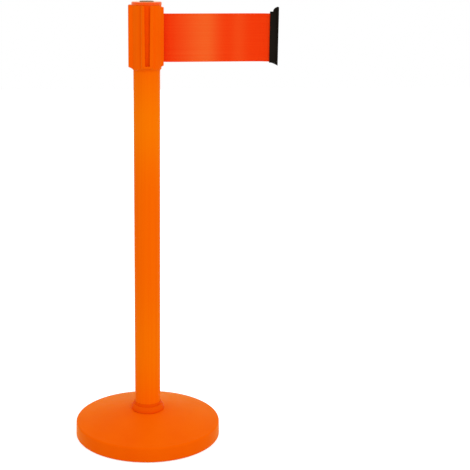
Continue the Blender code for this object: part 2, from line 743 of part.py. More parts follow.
def least_gap(line, thickness, per_loop):
    """Least distance between neighbouring loops of a wound strip, measured from points to segments."""
    best = math.inf
    for i, point in enumerate(line[per_loop // 2 + 1 :], start=per_loop // 2 + 1):
        for a, b in zip(line[: i - per_loop // 2], line[1 : i - per_loop // 2]):
            along = b - a
            share = min(1.0, max(0.0, (point - a).dot(along) / along.length_squared))
            best = min(best, (point - a - along * share).length)
    return best - thickness


# Wound pieces: the belt's roll on the spool, and the return spring from the axle's slot out to the cup
belt_top = BELT_BOTTOM + BELT_WIDTH
roll_line = spiral_line(ROLL_INNER, ROLL_OUTER - ROLL_STRIP / 2, ROLL_LOOPS, LOOP_POINTS)
belt_roll = extruded("belt_roll", [strip_outline(roll_line, ROLL_STRIP)], BELT_BOTTOM, belt_top, WEBBING)
spring_line = spiral_line(SPRING_INNER, SPRING_OUTER, SPRING_LOOPS, LOOP_POINTS)
spring_tail = [Vector((x, 0.0)) for x in SPRING_TAIL]
power_spring = extruded(
    "power_spring",
    [strip_outline(spring_tail + spring_line[1:], SPRING_STRIP)],
    SPRING_BOTTOM,
    SPRING_BOTTOM + SPRING_WIDTH,
    SPRING_STEEL,
)
wound = {"belt_roll": (roll_line, ROLL_STRIP), "power_spring": (spring_line, SPRING_STRIP)}
for label, (line, strip) in wound.items():
    print(f"{label}: least gap between loops {1000 * least_gap(line, strip, LOOP_POINTS):.2f} mm")

# Free belt: round the roll, over the exit lip, straight out to the clip, and round the rod in its end loop
wrap_radius = ROLL_OUTER + LIP_CLEARANCE + BELT_THICKNESS / 2
span = math.hypot(LIP_CENTRE_X, BELT_BEND_RADIUS)
leave = math.degrees(
    math.atan2(BELT_BEND_RADIUS, LIP_CENTRE_X) + math.acos((wrap_radius + BELT_BEND_RADIUS) / span)
)
belt_line = arc((0, 0), wrap_radius, leave + BELT_WRAP_DEGREES, leave, BELT_STEPS)
belt_line += arc(lip_centre, BELT_BEND_RADIUS, leave + 180.0, 270.0, LIP_STEPS)
loop_join = math.degrees(math.asin(BELT_THICKNESS / 2 / BELT_LOOP_OUTER))
straight_end = CLIP_ROD_X - BELT_LOOP_OUTER * math.cos(math.radians(loop_join))
for step in range(1, BELT_STEPS + 1):
    belt_line.append((LIP_CENTRE_X + (straight_end - LIP_CENTRE_X) * step / BELT_STEPS, 0.0))
edges = strip_outline([Vector(point) for point in belt_line], BELT_THICKNESS)
half = len(edges) // 2
rod_centre = (CLIP_ROD_X, 0.0)
loop = arc(rod_centre, BELT_LOOP_OUTER, 180.0 - loop_join, -180.0 + loop_join, PIN_STEPS)[1:-1]
loop_hole = ring(BELT_LOOP_INNER, PIN_STEPS, rod_centre)
belt = extruded("belt", [edges[:half] + loop + edges[half:], loop_hole], BELT_BOTTOM, belt_top, WEBBING)


def share_between(value, low, high):
    """How far value lies from low to high, kept within 0 and 1."""
    return min(1.0, max(0.0, (value - low) / (high - low)))


def clip_section(x):
    """Ring of points across the clip at x: a rounded trapezium, narrower at the foot of the plate.

    The sides step out from sleeve to plate as a square curve, the top swells as a quarter ellipse
    and the foot drops as a power curve.
    """
    flare = share_between(x, CLIP_FLARE_X, CLIP_RIM_X) ** 2
    half_top = CLIP_SLEEVE_HALF + (CLIP_PLATE_HALF - CLIP_SLEEVE_HALF) * flare
    half_foot = max(CLIP_SLEEVE_HALF, half_top * CLIP_FOOT_TAPER)
    swell = math.sqrt(1.0 - (1.0 - share_between(x, CLIP_SWELL_X, CLIP_OUTER_X)) ** 2)
    top = CLIP_SLEEVE_TOP + (CLIP_PLATE_TOP - CLIP_SLEEVE_TOP) * swell
    drop = share_between(x, CLIP_FOOT_X, CLIP_OUTER_X) ** CLIP_FOOT_POWER
    foot = CLIP_SLEEVE_BOTTOM - (CLIP_SLEEVE_BOTTOM - CLIP_PLATE_BOTTOM) * drop
    points = arc((half_top - CLIP_CORNER, top - CLIP_CORNER), CLIP_CORNER, 0.0, 90.0, 3)
    points += arc((CLIP_CORNER - half_top, top - CLIP_CORNER), CLIP_CORNER, 90.0, 180.0, 3)
    points += arc((CLIP_CORNER - half_foot, foot + CLIP_CORNER), CLIP_CORNER, 180.0, 270.0, 3)
    points += arc((half_foot - CLIP_CORNER, foot + CLIP_CORNER), CLIP_CORNER, 270.0, 360.0, 3)
    return [(x, y, z) for y, z in points]


# Belt clip: lofted from sleeve to plate, with a keyhole groove, open below, that takes the belt's loop
stations = [CLIP_INNER_X, CLIP_FOOT_X]
for step in range(CLIP_SWELL_STEPS + 1):
    stations.append(CLIP_SWELL_X + (CLIP_FLARE_X - CLIP_SWELL_X) * step / CLIP_SWELL_STEPS)
stations += [(CLIP_FLARE_X + CLIP_RIM_X) / 2, CLIP_RIM_X, (CLIP_RIM_X + CLIP_OUTER_X) / 2, CLIP_OUTER_X]
belt_clip = lofted("belt_clip", [clip_section(x) for x in stations], BLACK)
groove_bottom = CLIP_PLATE_BOTTOM - CUT_PAST
groove_top = belt_top + BELT_SLIT_MARGIN
slit_corners = (
    (CLIP_INNER_X - CUT_PAST, -BELT_THICKNESS, groove_bottom),
    (CLIP_ROD_X, BELT_THICKNESS, groove_top),
)
cut(belt_clip, box_cutter("clip_slit", *slit_corners))
cut(belt_clip, round_cutter("clip_bore", rod_centre, CLIP_BORE_RADIUS, groove_bottom, groove_top))
clip_rod = round_cutter("clip_rod", rod_centre, CLIP_ROD_RADIUS, BELT_BOTTOM, belt_top, PIN_STEPS)
clip_rod.data.materials[0] = ZINC

# Cap: pushed into the chamber, with a boss for the axle's top and a recess for the bare inlay disc
cap_low = HEAD_TOP + GAP
cap_roof = CAP_TOP - CAP_WALL
cap_profile = [
    (0.0, CAP_TOP - INLAY_RECESS),
    (INLAY_RADIUS + GAP, CAP_TOP - INLAY_RECESS),
    (INLAY_RADIUS + GAP, CAP_TOP),
]
cap_profile += arc((CORE_RADIUS - CAP_ROUND, CAP_TOP - CAP_ROUND), CAP_ROUND, 90.0, 0.0, 4)
cap_profile += [
    (CORE_RADIUS, cap_low),
    (CAP_SKIRT_RADIUS, cap_low),
    (CAP_SKIRT_RADIUS, CAP_SKIRT_BOTTOM),
    (CAP_SKIRT_RADIUS - CAP_SKIRT_WALL, CAP_SKIRT_BOTTOM),
    (CAP_SKIRT_RADIUS - CAP_SKIRT_WALL, cap_roof),
    (AXLE_RADIUS + CAP_BOSS_WALL, cap_roof),
    (AXLE_RADIUS + CAP_BOSS_WALL, CAP_SKIRT_BOTTOM),
    (AXLE_RADIUS + GAP, CAP_SKIRT_BOTTOM),
    (AXLE_RADIUS + GAP, AXLE_TOP + GAP),
    (0.0, AXLE_TOP + GAP),
]
turned("head_cap", cap_profile, ORANGE, MIDDLE_STEPS, closed=False)
inlay_bottom = CAP_TOP - INLAY_RECESS + GAP
turned(
    "cap_inlay",
    [
        (0.0, CAP_TOP + INLAY_PROUD),
        (INLAY_RADIUS - INLAY_CHAMFER, CAP_TOP + INLAY_PROUD),
        (INLAY_RADIUS, CAP_TOP + INLAY_PROUD - INLAY_CHAMFER),
        (INLAY_RADIUS, inlay_bottom),
        (0.0, inlay_bottom),
    ],
    GREY,
    SPOOL_STEPS,
    closed=False,
)


def carried_by(name, place, children):
    """An empty on a joint's axis that carries the pieces that move with it."""
    empty = bpy.data.objects.new(name, None)
    empty.empty_display_size = 0.02
    empty.location = place
    PARTS.objects.link(empty)
    for child in children:
        child.parent = empty
        child.matrix_parent_inverse = Matrix.Translation(-Vector(place))


carried_by(
    "spool_axis",
    (0.0, 0.0, FLOOR_TOP),
    (spool, lower_bush, upper_bush, spring_cup, spring_lid, belt_roll, power_spring),
)
carried_by("belt_end", (CLIP_INNER_X, 0.0, BELT_BOTTOM + BELT_WIDTH / 2), (belt, belt_clip, clip_rod))
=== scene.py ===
"""A retractable belt barrier post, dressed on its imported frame.

Metres, +Z up, the belt drawn out along +X. The sections follow the post as it is put together: base, tube,
head with its belt cassette, belt and clip, and last the studio that it stands in.
"""

import math

import bmesh
import bpy
import numpy as np
from mathutils import Matrix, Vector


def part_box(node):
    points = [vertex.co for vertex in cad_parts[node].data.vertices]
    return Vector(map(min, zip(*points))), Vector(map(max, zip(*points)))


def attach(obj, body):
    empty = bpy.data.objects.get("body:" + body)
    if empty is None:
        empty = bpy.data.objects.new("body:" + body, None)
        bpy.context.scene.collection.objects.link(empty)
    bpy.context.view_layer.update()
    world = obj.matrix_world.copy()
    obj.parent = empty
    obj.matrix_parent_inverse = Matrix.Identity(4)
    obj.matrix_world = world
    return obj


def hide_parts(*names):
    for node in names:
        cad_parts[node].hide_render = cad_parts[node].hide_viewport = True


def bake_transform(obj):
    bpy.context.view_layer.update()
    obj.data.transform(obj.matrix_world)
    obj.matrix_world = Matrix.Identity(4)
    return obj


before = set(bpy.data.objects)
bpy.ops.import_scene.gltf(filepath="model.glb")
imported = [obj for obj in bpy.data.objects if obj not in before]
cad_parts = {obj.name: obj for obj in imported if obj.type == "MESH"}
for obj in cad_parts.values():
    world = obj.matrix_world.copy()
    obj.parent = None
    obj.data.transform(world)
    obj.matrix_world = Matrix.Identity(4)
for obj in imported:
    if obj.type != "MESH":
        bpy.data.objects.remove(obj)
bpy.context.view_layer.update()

# Base cover: a domed injection moulding in orange polypropylene with an upright rim. It drops over the
# ballast and the foot bolt pulls it down. The rim's top edge is rounded, and its foot stands a little off
# the floor.
BASE_RADIUS = 0.160
COVER_WALL = 0.0035
RIM_HEIGHT = 0.0345
RIM_ROUND = 0.0045
RIM_ROUND_START = 78.0
RIM_LIFT = 0.0015
RIM_FOOT = 0.0012
RIM_FOOT_START = -20.0
RIM_DRAFT = 0.0006
DOME_FLAT_RADIUS = 0.038
DOME_CROWN = 0.28
DOME_POINTS = 40
BOLT_HOLE = 0.0056
MERGE_DISTANCE = 0.000002
SHARP_DEGREES = 32.0
COVER_STEPS = 192
NOISE_LOW, NOISE_HIGH = 0.3, 0.7
MOULDING_ROUGHNESS = 0.42
MOULDING_SPECULAR = 0.009
MOULDING_BLOOM = 0.3
BLOOM_ROUGHNESS = 0.4
GLOSS_BELOW, GLOSS_ABOVE = 0.04, 0.05
dome_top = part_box("base_cover")[1].z


def arc_points(centre, radius, start, end, count):
    """Points on a circle about centre, at even angles from start to end in degrees, as a (count, 2) array."""
    turn = np.radians(np.linspace(start, end, count))
    return np.column_stack((centre[0] + radius * np.cos(turn), centre[1] + radius * np.sin(turn)))


def closed_up(mesh):
    """Merges a mesh's doubled points, turns its faces outwards and smooths it except across sharp edges."""
    shell = bmesh.new()
    shell.from_mesh(mesh)
    bmesh.ops.remove_doubles(shell, verts=shell.verts, dist=MERGE_DISTANCE)
    bmesh.ops.recalc_face_normals(shell, faces=shell.faces)
    shell.to_mesh(mesh)
    shell.free()
    mesh.shade_smooth()
    mesh.set_sharp_from_angle(angle=math.radians(SHARP_DEGREES))
    return mesh


def grid_faces(index, wrap_rows=False, wrap_columns=False):
    """Four-sided faces between neighbouring rows and columns of a grid of point numbers."""
    if wrap_rows:
        index = np.vstack((index, index[:1]))
    if wrap_columns:
        index = np.hstack((index, index[:, :1]))
    cells = np.stack((index[:-1, :-1], index[:-1, 1:], index[1:, 1:], index[1:, :-1]), axis=-1)
    return cells.reshape(-1, 4).tolist()


def tube_mesh(name, points, wrap_rows=False):
    """Mesh of a grid whose rows are rings: rings joined in turn, and the ends closed unless the rows wrap."""
    rows, columns = points.shape[:2]
    index = np.arange(rows * columns).reshape(rows, columns)
    faces = grid_faces(index, wrap_rows, True)
    if not wrap_rows:
        faces += [index[0, ::-1].tolist(), index[-1].tolist()]
    mesh = bpy.data.meshes.new(name)
    mesh.from_pydata(points.reshape(-1, 3).tolist(), [], faces)
    return mesh


def turned_mesh(name, profile, steps, ring=True):
    """Surface of revolution about Z: each (radius, height) of the profile, at even angles all round.

    A ring's profile closes on itself. Any other profile starts and ends on the axis.
    """
    turn = np.linspace(0.0, 2 * np.pi, steps, endpoint=False)[None, :]
    radius, height = profile[:, :1], profile[:, 1:]
    points = np.stack((radius * np.cos(turn), radius * np.sin(turn), height + 0 * turn), axis=-1)
    return closed_up(tube_mesh(name, points, wrap_rows=ring))


def dome_profile(inset, drop, count):
    """The dome from its flat out to the rim: height falls as run x (1 + crown - crown x run)."""
    rim_edge = BASE_RADIUS - RIM_ROUND
    radius = np.linspace(DOME_FLAT_RADIUS, rim_edge - inset, count)
    run = (rim_edge - radius) / (rim_edge - DOME_FLAT_RADIUS)
    height = RIM_HEIGHT + (dome_top - RIM_HEIGHT) * run * (1 + DOME_CROWN - DOME_CROWN * run)
    return np.column_stack((radius, height - drop))


def screen_colour(red, green, blue):
    """A colour given as it shows on screen, 0 to 255, as the linear values that a shader takes."""
    shown = np.array((red, green, blue)) / 255.0
    linear = np.where(shown <= 0.04045, shown / 12.92, ((shown + 0.055) / 1.055) ** 2.4)
    return (*linear.tolist(), 1.0)


def new_finish(name, roughness, specular=0.5, metallic=0.0, shine=(1.0, 1.0, 1.0, 1.0)):
    """A material and its shader, with what is the same all over set on the shader's own sockets."""
    material = bpy.data.materials.new(name)
    material.use_nodes = True
    shader = material.node_tree.nodes["Principled BSDF"]
    shader.inputs["Roughness"].default_value = roughness
    shader.inputs["Specular IOR Level"].default_value = specular
    shader.inputs["Specular Tint"].default_value = shine
    shader.inputs["Metallic"].default_value = metallic
    return material, shader


def add_node(material, kind, sources=(), **settings):
    """A node with its settings. Each source is (input, value), where a value may be another node's output."""
    made = material.node_tree.nodes.new(kind)
    for label, value in settings.items():
        setattr(made, label, value)
    for place, value in sources:
        if isinstance(value, bpy.types.NodeSocket):
            material.node_tree.links.new(value, made.inputs[place])
        else:
            made.inputs[place].default_value = value
    return made


def cloud(material, scale, stretch=(1.0, 1.0, 1.0), detail=3.0, coordinates="Object"):
    """Cloudy noise from 0 to 1, drawn out along each axis whose stretch is small."""
    place = add_node(material, "ShaderNodeTexCoord").outputs[coordinates]
    squeezed = add_node(material, "ShaderNodeMapping", [("Vector", place), ("Scale", stretch)])
    sources = [("Vector", squeezed.outputs["Vector"]), ("Scale", scale), ("Detail", detail)]
    return add_node(material, "ShaderNodeTexNoise", sources).outputs["Fac"]


def spread(material, value, low=0.0, high=1.0):
    """Stretches the middle part of a noise value over the range from low to high."""
    ranges = [("From Min", NOISE_LOW), ("From Max", NOISE_HIGH), ("To Min", low), ("To Max", high)]
    return add_node(material, "ShaderNodeMapRange", [("Value", value), *ranges]).outputs["Result"]


def colour_mix(material, amount, first, second):
    """A colour between first, where amount is 0, and second, where it is 1."""
    sources = [(0, amount), (6, first), (7, second)]
    return add_node(material, "ShaderNodeMix", sources, data_type="RGBA").outputs[2]


def paint(material, shader, amount, first, second):
    """Gives the shader a colour between first, where amount is 0, and second, where it is 1."""
    mixed = colour_mix(material, amount, first, second)
    material.node_tree.links.new(mixed, shader.inputs["Base Color"])


def vary_gloss(material, shader, value, low, high):
    """Lets the shader's roughness follow a noise value from low to high."""
    material.node_tree.links.new(spread(material, value, low, high), shader.inputs["Roughness"])


def relief(material, shader, height, depth):
    """Fine relief, depth metres deep, on top of any relief that the shader already has."""
    socket = shader.inputs["Normal"]
    sources = [("Height", height), ("Distance", depth)]
    if socket.is_linked:
        sources.append(("Normal", socket.links[0].from_socket))
    bumped = add_node(material, "ShaderNodeBump", sources)
    material.node_tree.links.new(bumped.outputs["Normal"], socket)


def moulded_plastic(name, dark, light, roughness=MOULDING_ROUGHNESS, specular=MOULDING_SPECULAR):
    """Satin moulded plastic: faint flow marks in its colour, uneven gloss and a fine spark-eroded grain."""
    material, shader = new_finish(name, roughness, specular, shine=WARM_SHINE)
    flow = cloud(material, scale=14.0, stretch=(1.0, 1.0, 0.6))
    paint(material, shader, spread(material, flow), dark, light)
    patches = cloud(material, scale=60.0)
    vary_gloss(material, shader, patches, roughness - GLOSS_BELOW, roughness + GLOSS_ABOVE)
    relief(material, shader, cloud(material, scale=1800.0, detail=2.0), depth=0.00002)
    return material


def add_bloom(material, amount):
    """A faint yellow bloom on plastic that shows at flat angles, as a sheen on the shader's own sockets."""
    shader = material.node_tree.nodes["Principled BSDF"]
    shader.inputs["Sheen Weight"].default_value = amount
    shader.inputs["Sheen Roughness"].default_value = BLOOM_ROUGHNESS
    shader.inputs["Sheen Tint"].default_value = YELLOW_BLOOM


def put_in_scene(name, data):
    """A new object at the origin, linked to the scene."""
    made = bpy.data.objects.new(name, data)
    bpy.context.scene.collection.objects.link(made)
    return made


def show_piece(name, mesh, material, body, slot, *stands_for):
    """Puts a finished mesh in the scene as a piece that rides on a body and stands for CAD nodes."""
    piece = put_in_scene(name, mesh)
    mesh.materials.append(material)
    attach(piece, body)
    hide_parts(*stands_for)
    return piece


WARM_SHINE = screen_colour(255, 247, 205)
YELLOW_BLOOM = screen_colour(255, 240, 60)
ORANGE_DEEP, ORANGE_BRIGHT = screen_colour(250, 95, 0), screen_colour(253, 101, 0)
orange_moulding = moulded_plastic("orange_moulding", ORANGE_DEEP, ORANGE_BRIGHT)
add_bloom(orange_moulding, MOULDING_BLOOM)
cover_inner = BASE_RADIUS - COVER_WALL
rim_round_centre = (BASE_RADIUS - RIM_ROUND, RIM_HEIGHT - RIM_ROUND)
rim_foot_centre = (BASE_RADIUS + RIM_DRAFT - RIM_FOOT, RIM_LIFT + RIM_FOOT)
cover_profile = np.vstack(
    (
        [(BOLT_HOLE, dome_top)],
        dome_profile(0.0, 0.0, DOME_POINTS),
        arc_points(rim_round_centre, RIM_ROUND, RIM_ROUND_START, 0.0, 12),
        [(BASE_RADIUS + RIM_DRAFT, RIM_LIFT + RIM_FOOT)],
        arc_points(rim_foot_centre, RIM_FOOT, RIM_FOOT_START, -90.0, 5),
        [(cover_inner, RIM_LIFT), (cover_inner, RIM_HEIGHT - RIM_ROUND)],
        dome_profile(COVER_WALL, COVER_WALL, DOME_POINTS // 2)[::-1],
        [(BOLT_HOLE, dome_top - COVER_WALL)],
    )
)
cover_mesh = turned_mesh("base_cover_moulding", cover_profile, COVER_STEPS)
show_piece("base_cover_moulding", cover_mesh, orange_moulding, "stand", "orange_moulding", "base_cover")


# Ballast and sole: a cast concrete disc that fills the cover, closed below by a grooved rubber sole. Both
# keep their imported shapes. The sole is glued under the ballast and is what the post stands on.
def dress(material, *names):
    """Gives a finish to CAD nodes that keep their shape."""
    for name in names:
        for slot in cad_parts[name].material_slots:
            slot.material = material


concrete, concrete_shader = new_finish("cast_ballast", roughness=0.9, specular=0.3)
speckle = spread(concrete, cloud(concrete, scale=220.0, detail=6.0))
paint(concrete, concrete_shader, speckle, screen_colour(120, 116, 110), screen_colour(168, 164, 156))
relief(concrete, concrete_shader, cloud(concrete, scale=400.0, detail=5.0), depth=0.0002)
dress(concrete, "base_weight")

rubber, rubber_shader = new_finish("sole_rubber", roughness=0.8, specular=0.3)
rubber_cloud = cloud(rubber, scale=90.0)
paint(rubber, rubber_shader, rubber_cloud, screen_colour(26, 26, 27), screen_colour(44, 43, 42))
relief(rubber, rubber_shader, cloud(rubber, scale=1200.0), depth=0.00005)
dress(rubber, "base_sole")

# Clamp bolt, washer and nut: zinc plated steel, tightened from below. The same bright plating is on the
# head screws, the axle, the lid of the spring cup and the rod in the belt's end.
zinc, zinc_shader = new_finish("zinc_plate", roughness=0.34, metallic=1.0)
zinc_streaks = spread(zinc, cloud(zinc, scale=240.0, stretch=(1.0, 1.0, 0.15), detail=4.0))
paint(zinc, zinc_shader, zinc_streaks, screen_colour(176, 180, 184), screen_colour(214, 214, 210))
vary_gloss(zinc, zinc_shader, cloud(zinc, scale=500.0, stretch=(1.0, 1.0, 0.1)), 0.26, 0.42)
dress(zinc, "base_bolt", "base_washer", "base_nut", "axle", "spring_lid", "clip_rod")
dress(zinc, "head_screw_1", "head_screw_2", "head_screw_3")

# Foot and top plugs: natural nylon mouldings, pressed into the tube's ends. The belt's spool and the cup of
# its return spring are moulded in the same nylon.
nylon, nylon_shader = new_finish("natural_nylon", roughness=0.5, specular=0.4)
nylon_cloud = spread(nylon, cloud(nylon, scale=70.0))
paint(nylon, nylon_shader, nylon_cloud, screen_colour(204, 199, 186), screen_colour(220, 216, 206))
relief(nylon, nylon_shader, cloud(nylon, scale=1500.0), depth=0.00002)
dress(nylon, "foot_plug", "top_plug", "spool", "spring_cup")

# Foot collar: a moulded ring in a slightly redder orange, with a half-round bead and a thin neck. It slides
# down the tube and hides the joint between the tube and the dome.
TUBE_RADIUS = 0.028
GAP = 0.0003
COLLAR_RADIUS = 0.0362
COLLAR_NECK_RADIUS = 0.0296
COLLAR_NECK_BOTTOM = 0.0725
COLLAR_BEAD_TOP = 0.0718
COLLAR_BEAD_SIDE = 0.0615
COLLAR_GROOVE = 0.0006
COLLAR_LIP = 0.0005
COLLAR_FOOT_ROUND = 0.0018
COLLAR_STEPS = 128
collar_low, collar_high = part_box("post_collar")
collar_bore = TUBE_RADIUS + GAP
bead_turn = np.radians(np.linspace(90.0, 0.0, 16))
bead = np.column_stack(
    (
        COLLAR_NECK_RADIUS + (COLLAR_RADIUS - COLLAR_NECK_RADIUS) * np.cos(bead_turn),
        COLLAR_BEAD_SIDE + (COLLAR_BEAD_TOP - COLLAR_BEAD_SIDE) * np.sin(bead_turn),
    )
)
foot_round_centre = (COLLAR_RADIUS - COLLAR_FOOT_ROUND, collar_low.z + COLLAR_FOOT_ROUND)
collar_profile = np.vstack(
    (
        [(collar_bore, collar_high.z)],
        arc_points((COLLAR_NECK_RADIUS - COLLAR_LIP, collar_high.z - COLLAR_LIP), COLLAR_LIP, 90.0, 0.0, 5),
        [(COLLAR_NECK_RADIUS, COLLAR_NECK_BOTTOM), (COLLAR_NECK_RADIUS - COLLAR_GROOVE, COLLAR_BEAD_TOP)],
        bead[1:],
        arc_points(foot_round_centre, COLLAR_FOOT_ROUND, 0.0, -90.0, 8),
        [(collar_bore, collar_low.z)],
    )
)
collar_plastic = moulded_plastic(
    "collar_plastic", screen_colour(240, 86, 0), screen_colour(243, 92, 0), specular=0.012
)
collar_mesh = turned_mesh("foot_collar", collar_profile, COLLAR_STEPS)
show_piece("foot_collar", collar_mesh, collar_plastic, "stand", "orange_moulding", "post_collar")

# Tube: extruded orange plastic with faint draw lines along its length and a smoother skin than the
# mouldings. Two long stretches of it are painted paler: painted light, for light that the studio's one lamp
# doesn't give. It stands on the foot plug's flange and runs up into the head's socket.
TUBE_WALL = 0.0025
TUBE_CHAMFER = 0.0004
TUBE_STEPS = 128
TUBE_RINGS = 24
TUBE_BLOOM = 0.2
UPPER_LIGHT_HEIGHT, UPPER_LENGTH = 0.70, 0.09
LOWER_LIGHT_HEIGHT, LOWER_LENGTH = 0.20, 0.12
LOWER_SHARE = 0.7
tube_low, tube_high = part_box("post_tube")
tube_inner = TUBE_RADIUS - TUBE_WALL
tube_heights = np.linspace(tube_high.z - TUBE_CHAMFER, tube_low.z + TUBE_CHAMFER, TUBE_RINGS)
tube_profile = np.vstack(
    (
        [(tube_inner, tube_high.z), (TUBE_RADIUS - TUBE_CHAMFER, tube_high.z)],
        np.column_stack((np.full(TUBE_RINGS, TUBE_RADIUS), tube_heights)),
        [(TUBE_RADIUS - TUBE_CHAMFER, tube_low.z), (tube_inner, tube_low.z)],
    )
)


def swell(place, middle, width):
    """A bell curve, 1 at its middle: e to the power of minus (distance / width) squared."""
    return np.exp(-(((place - middle) / width) ** 2))


def painted_light_by_height(points):
    """How much painted light the tube's colour takes, from 0 to 1 by height: a bell curve about each lighter
    stretch.
    """
    height = points[:, 2]
    upper = swell(height, UPPER_LIGHT_HEIGHT, UPPER_LENGTH)
    return upper + LOWER_SHARE * swell(height, LOWER_LIGHT_HEIGHT, LOWER_LENGTH)


def mark_points(mesh, name, rule):
    """Writes a value from 0 to 1 on each point of a mesh, by a rule of its place, for a material to read."""
    points = np.empty(len(mesh.vertices) * 3, dtype=np.float32)
    mesh.vertices.foreach_get("co", points)
    mark = mesh.attributes.new(name, "FLOAT", "POINT")
    mark.data.foreach_set("value", rule(points.reshape(-1, 3)).astype(np.float32))


tube_skin, tube_shader = new_finish("orange_extrusion", roughness=0.4, specular=0.008, shine=WARM_SHINE)
add_bloom(tube_skin, TUBE_BLOOM)
draw_lines = spread(tube_skin, cloud(tube_skin, scale=260.0, stretch=(1.0, 1.0, 0.01), detail=4.0))
deep_colour = colour_mix(tube_skin, draw_lines, screen_colour(252, 101, 0), screen_colour(255, 107, 0))
painted_lit_colour = colour_mix(tube_skin, draw_lines, screen_colour(254, 118, 0), screen_colour(255, 124, 0))
# Painted light: two paler stretches by height stand in for light that the studio's one lamp doesn't give.
painted_light_share = add_node(tube_skin, "ShaderNodeAttribute", attribute_name="painted_light").outputs["Fac"]
paint(tube_skin, tube_shader, painted_light_share, deep_colour, painted_lit_colour)
vary_gloss(tube_skin, tube_shader, cloud(tube_skin, scale=120.0, stretch=(1.0, 1.0, 0.03)), 0.36, 0.44)
relief(tube_skin, tube_shader, cloud(tube_skin, scale=500.0, stretch=(1.0, 1.0, 0.004)), depth=0.00003)
tube_shell = turned_mesh("tube_extrusion", tube_profile, TUBE_STEPS)
mark_points(tube_shell, "painted_light", painted_light_by_height)
show_piece("tube_extrusion", tube_shell, tube_skin, "stand", "orange_tube", "post_tube")

# Head housing: one orange moulding that slips over the tube and is held by three screws in its floor. A
# round core carries three receiver lobes, each with a T slot for another post's clip, and the belt's exit
# lobe.
CORE_RADIUS = 0.0316
CHAMBER_RADIUS = 0.0275
SOCKET_TOP = 0.824
FLOOR_TOP = 0.828
AXLE_HOLE = 0.0043
LOBE_HALF_WIDTH = 0.012
LOBE_CORNER = 0.0025
LOBE_FILLET = 0.003
RECEIVER_REACH = 0.0382
EXIT_REACH = 0.0352
EXIT_TOP = 0.9454
EXIT_BOTTOM = 0.8262
EXIT_STEP = 0.0007
LOBE_TOP_ROUND = 0.0026
LOBE_TOP_END = 86.0
UNDERSIDE_RISES = (0.0, 0.0014, 0.0036, 0.0056, 0.0068)
UNDERSIDE_RADII = (0.0292, 0.0298, 0.0328, 0.0370, 0.0405)
SLOT_FLOOR = 0.8265
SLOT_HALF_WIDTH = 0.0086
SLOT_BACK = 0.0318
SLOT_FRONT = 0.0364
SLOT_ROUND = 0.0005
LIP_ROUND = 0.0006
LIP_ROUND_SHARE = 0.45
MOUTH_HALF_TOP = 0.0062
MOUTH_HALF_BOTTOM = 0.00465
CUT_PAST = 0.005
LOBE_TOP_INSET = 0.25
LOBE_TOP_DRAW = 0.0015
CORE_ARC_POINTS = 7
UNDERSIDE_LEVELS = 13
SLOT_LEVELS = 9
LOBE_TOP_LEVELS = 8
HOLLOW_STEPS = 96
head_low, head_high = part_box("head_housing")


def lobe_edge(core, half_width, reach):
    """Half a lobe from the core to its face, as (across, out): a fillet, a straight side and a corner."""
    side = half_width + LOBE_FILLET
    out = math.sqrt((core + LOBE_FILLET) ** 2 - side**2)
    leaves = math.degrees(math.atan2(-out, -side))
    fillet = arc_points((side, out), LOBE_FILLET, leaves, -180.0, 8)
    corner = arc_points((half_width - LOBE_CORNER, reach - LOBE_CORNER), LOBE_CORNER, 0.0, 90.0, 9)
    return np.vstack((fillet, corner))


def slot_edge(mouth, reach):
    """Half a T slot from the lobe's face in to its back, as (across, out): a rounded lip, then the groove."""
    lip_round = min(LIP_ROUND, LIP_ROUND_SHARE * (reach - SLOT_FRONT))
    half_round = lip_round / 2
    groove_side = SLOT_HALF_WIDTH - SLOT_ROUND
    return np.vstack(
        (
            arc_points((mouth + lip_round, reach - lip_round), lip_round, 90.0, 180.0, 6),
            arc_points((mouth + half_round, SLOT_FRONT + half_round), half_round, 180.0, 270.0, 4),
            arc_points((groove_side, SLOT_FRONT - SLOT_ROUND), SLOT_ROUND, 90.0, 0.0, 4),
            arc_points((groove_side, SLOT_BACK + SLOT_ROUND), SLOT_ROUND, 0.0, -90.0, 4),
        )
    )


def mirrored(half):
    """A half outline followed by its mirror image, from one side to the other."""
    return np.vstack((half, half[::-1] * (-1.0, 1.0)))


def head_ring(height, inset=0.0, drawn_in=0.0, exit_out=1.0, slots=True):
    """Ring of points round the head at one height, anticlockwise: core arcs between four lobes.

    inset shrinks the core and the lobes' width, drawn_in pulls in the lobes' faces, and exit_out fades the
    exit lobe between the core, at 0, and its full reach, at 1.
    """
    core = CORE_RADIUS - inset
    half_width = LOBE_HALF_WIDTH - inset
    rise = (height - SLOT_FLOOR) / (head_high.z - SLOT_FLOOR)
    mouth = MOUTH_HALF_BOTTOM + (MOUTH_HALF_TOP - MOUTH_HALF_BOTTOM) * rise
    stretches = []
    for direction in (0.0, 90.0, 180.0, 270.0):
        reach = (RECEIVER_REACH if direction else EXIT_REACH) - drawn_in
        lobe = lobe_edge(core, half_width, reach)
        slot = slot_edge(mouth, reach)
        if direction and slots:
            lobe = np.vstack((lobe, slot))
        elif direction:
            lobe = np.vstack((lobe, slot[:1]))
        else:
            on_core = lobe * (core / np.hypot(*lobe.T))[:, None]
            lobe = on_core + (lobe - on_core) * exit_out
        meets_lobe = math.degrees(math.atan2(lobe[0, 1], lobe[0, 0]))
        between = arc_points((0.0, 0.0), core, 45.0, meets_lobe, CORE_ARC_POINTS)
        outline = mirrored(np.vstack((between[:-1], lobe)))[:-1]
        turn = math.radians(direction - 90.0)
        across, out = outline.T
        x = across * math.cos(turn) - out * math.sin(turn)
        y = across * math.sin(turn) + out * math.cos(turn)
        stretches.append(np.column_stack((x, y, np.full(len(x), height))))
    return np.vstack(stretches)


def kept_within(ring, radius):
    """The ring with points outside a radius drawn straight in to it."""
    share = np.minimum(1.0, radius / np.hypot(ring[:, 0], ring[:, 1]))
    return ring * np.column_stack((share, share, np.ones(len(ring))))


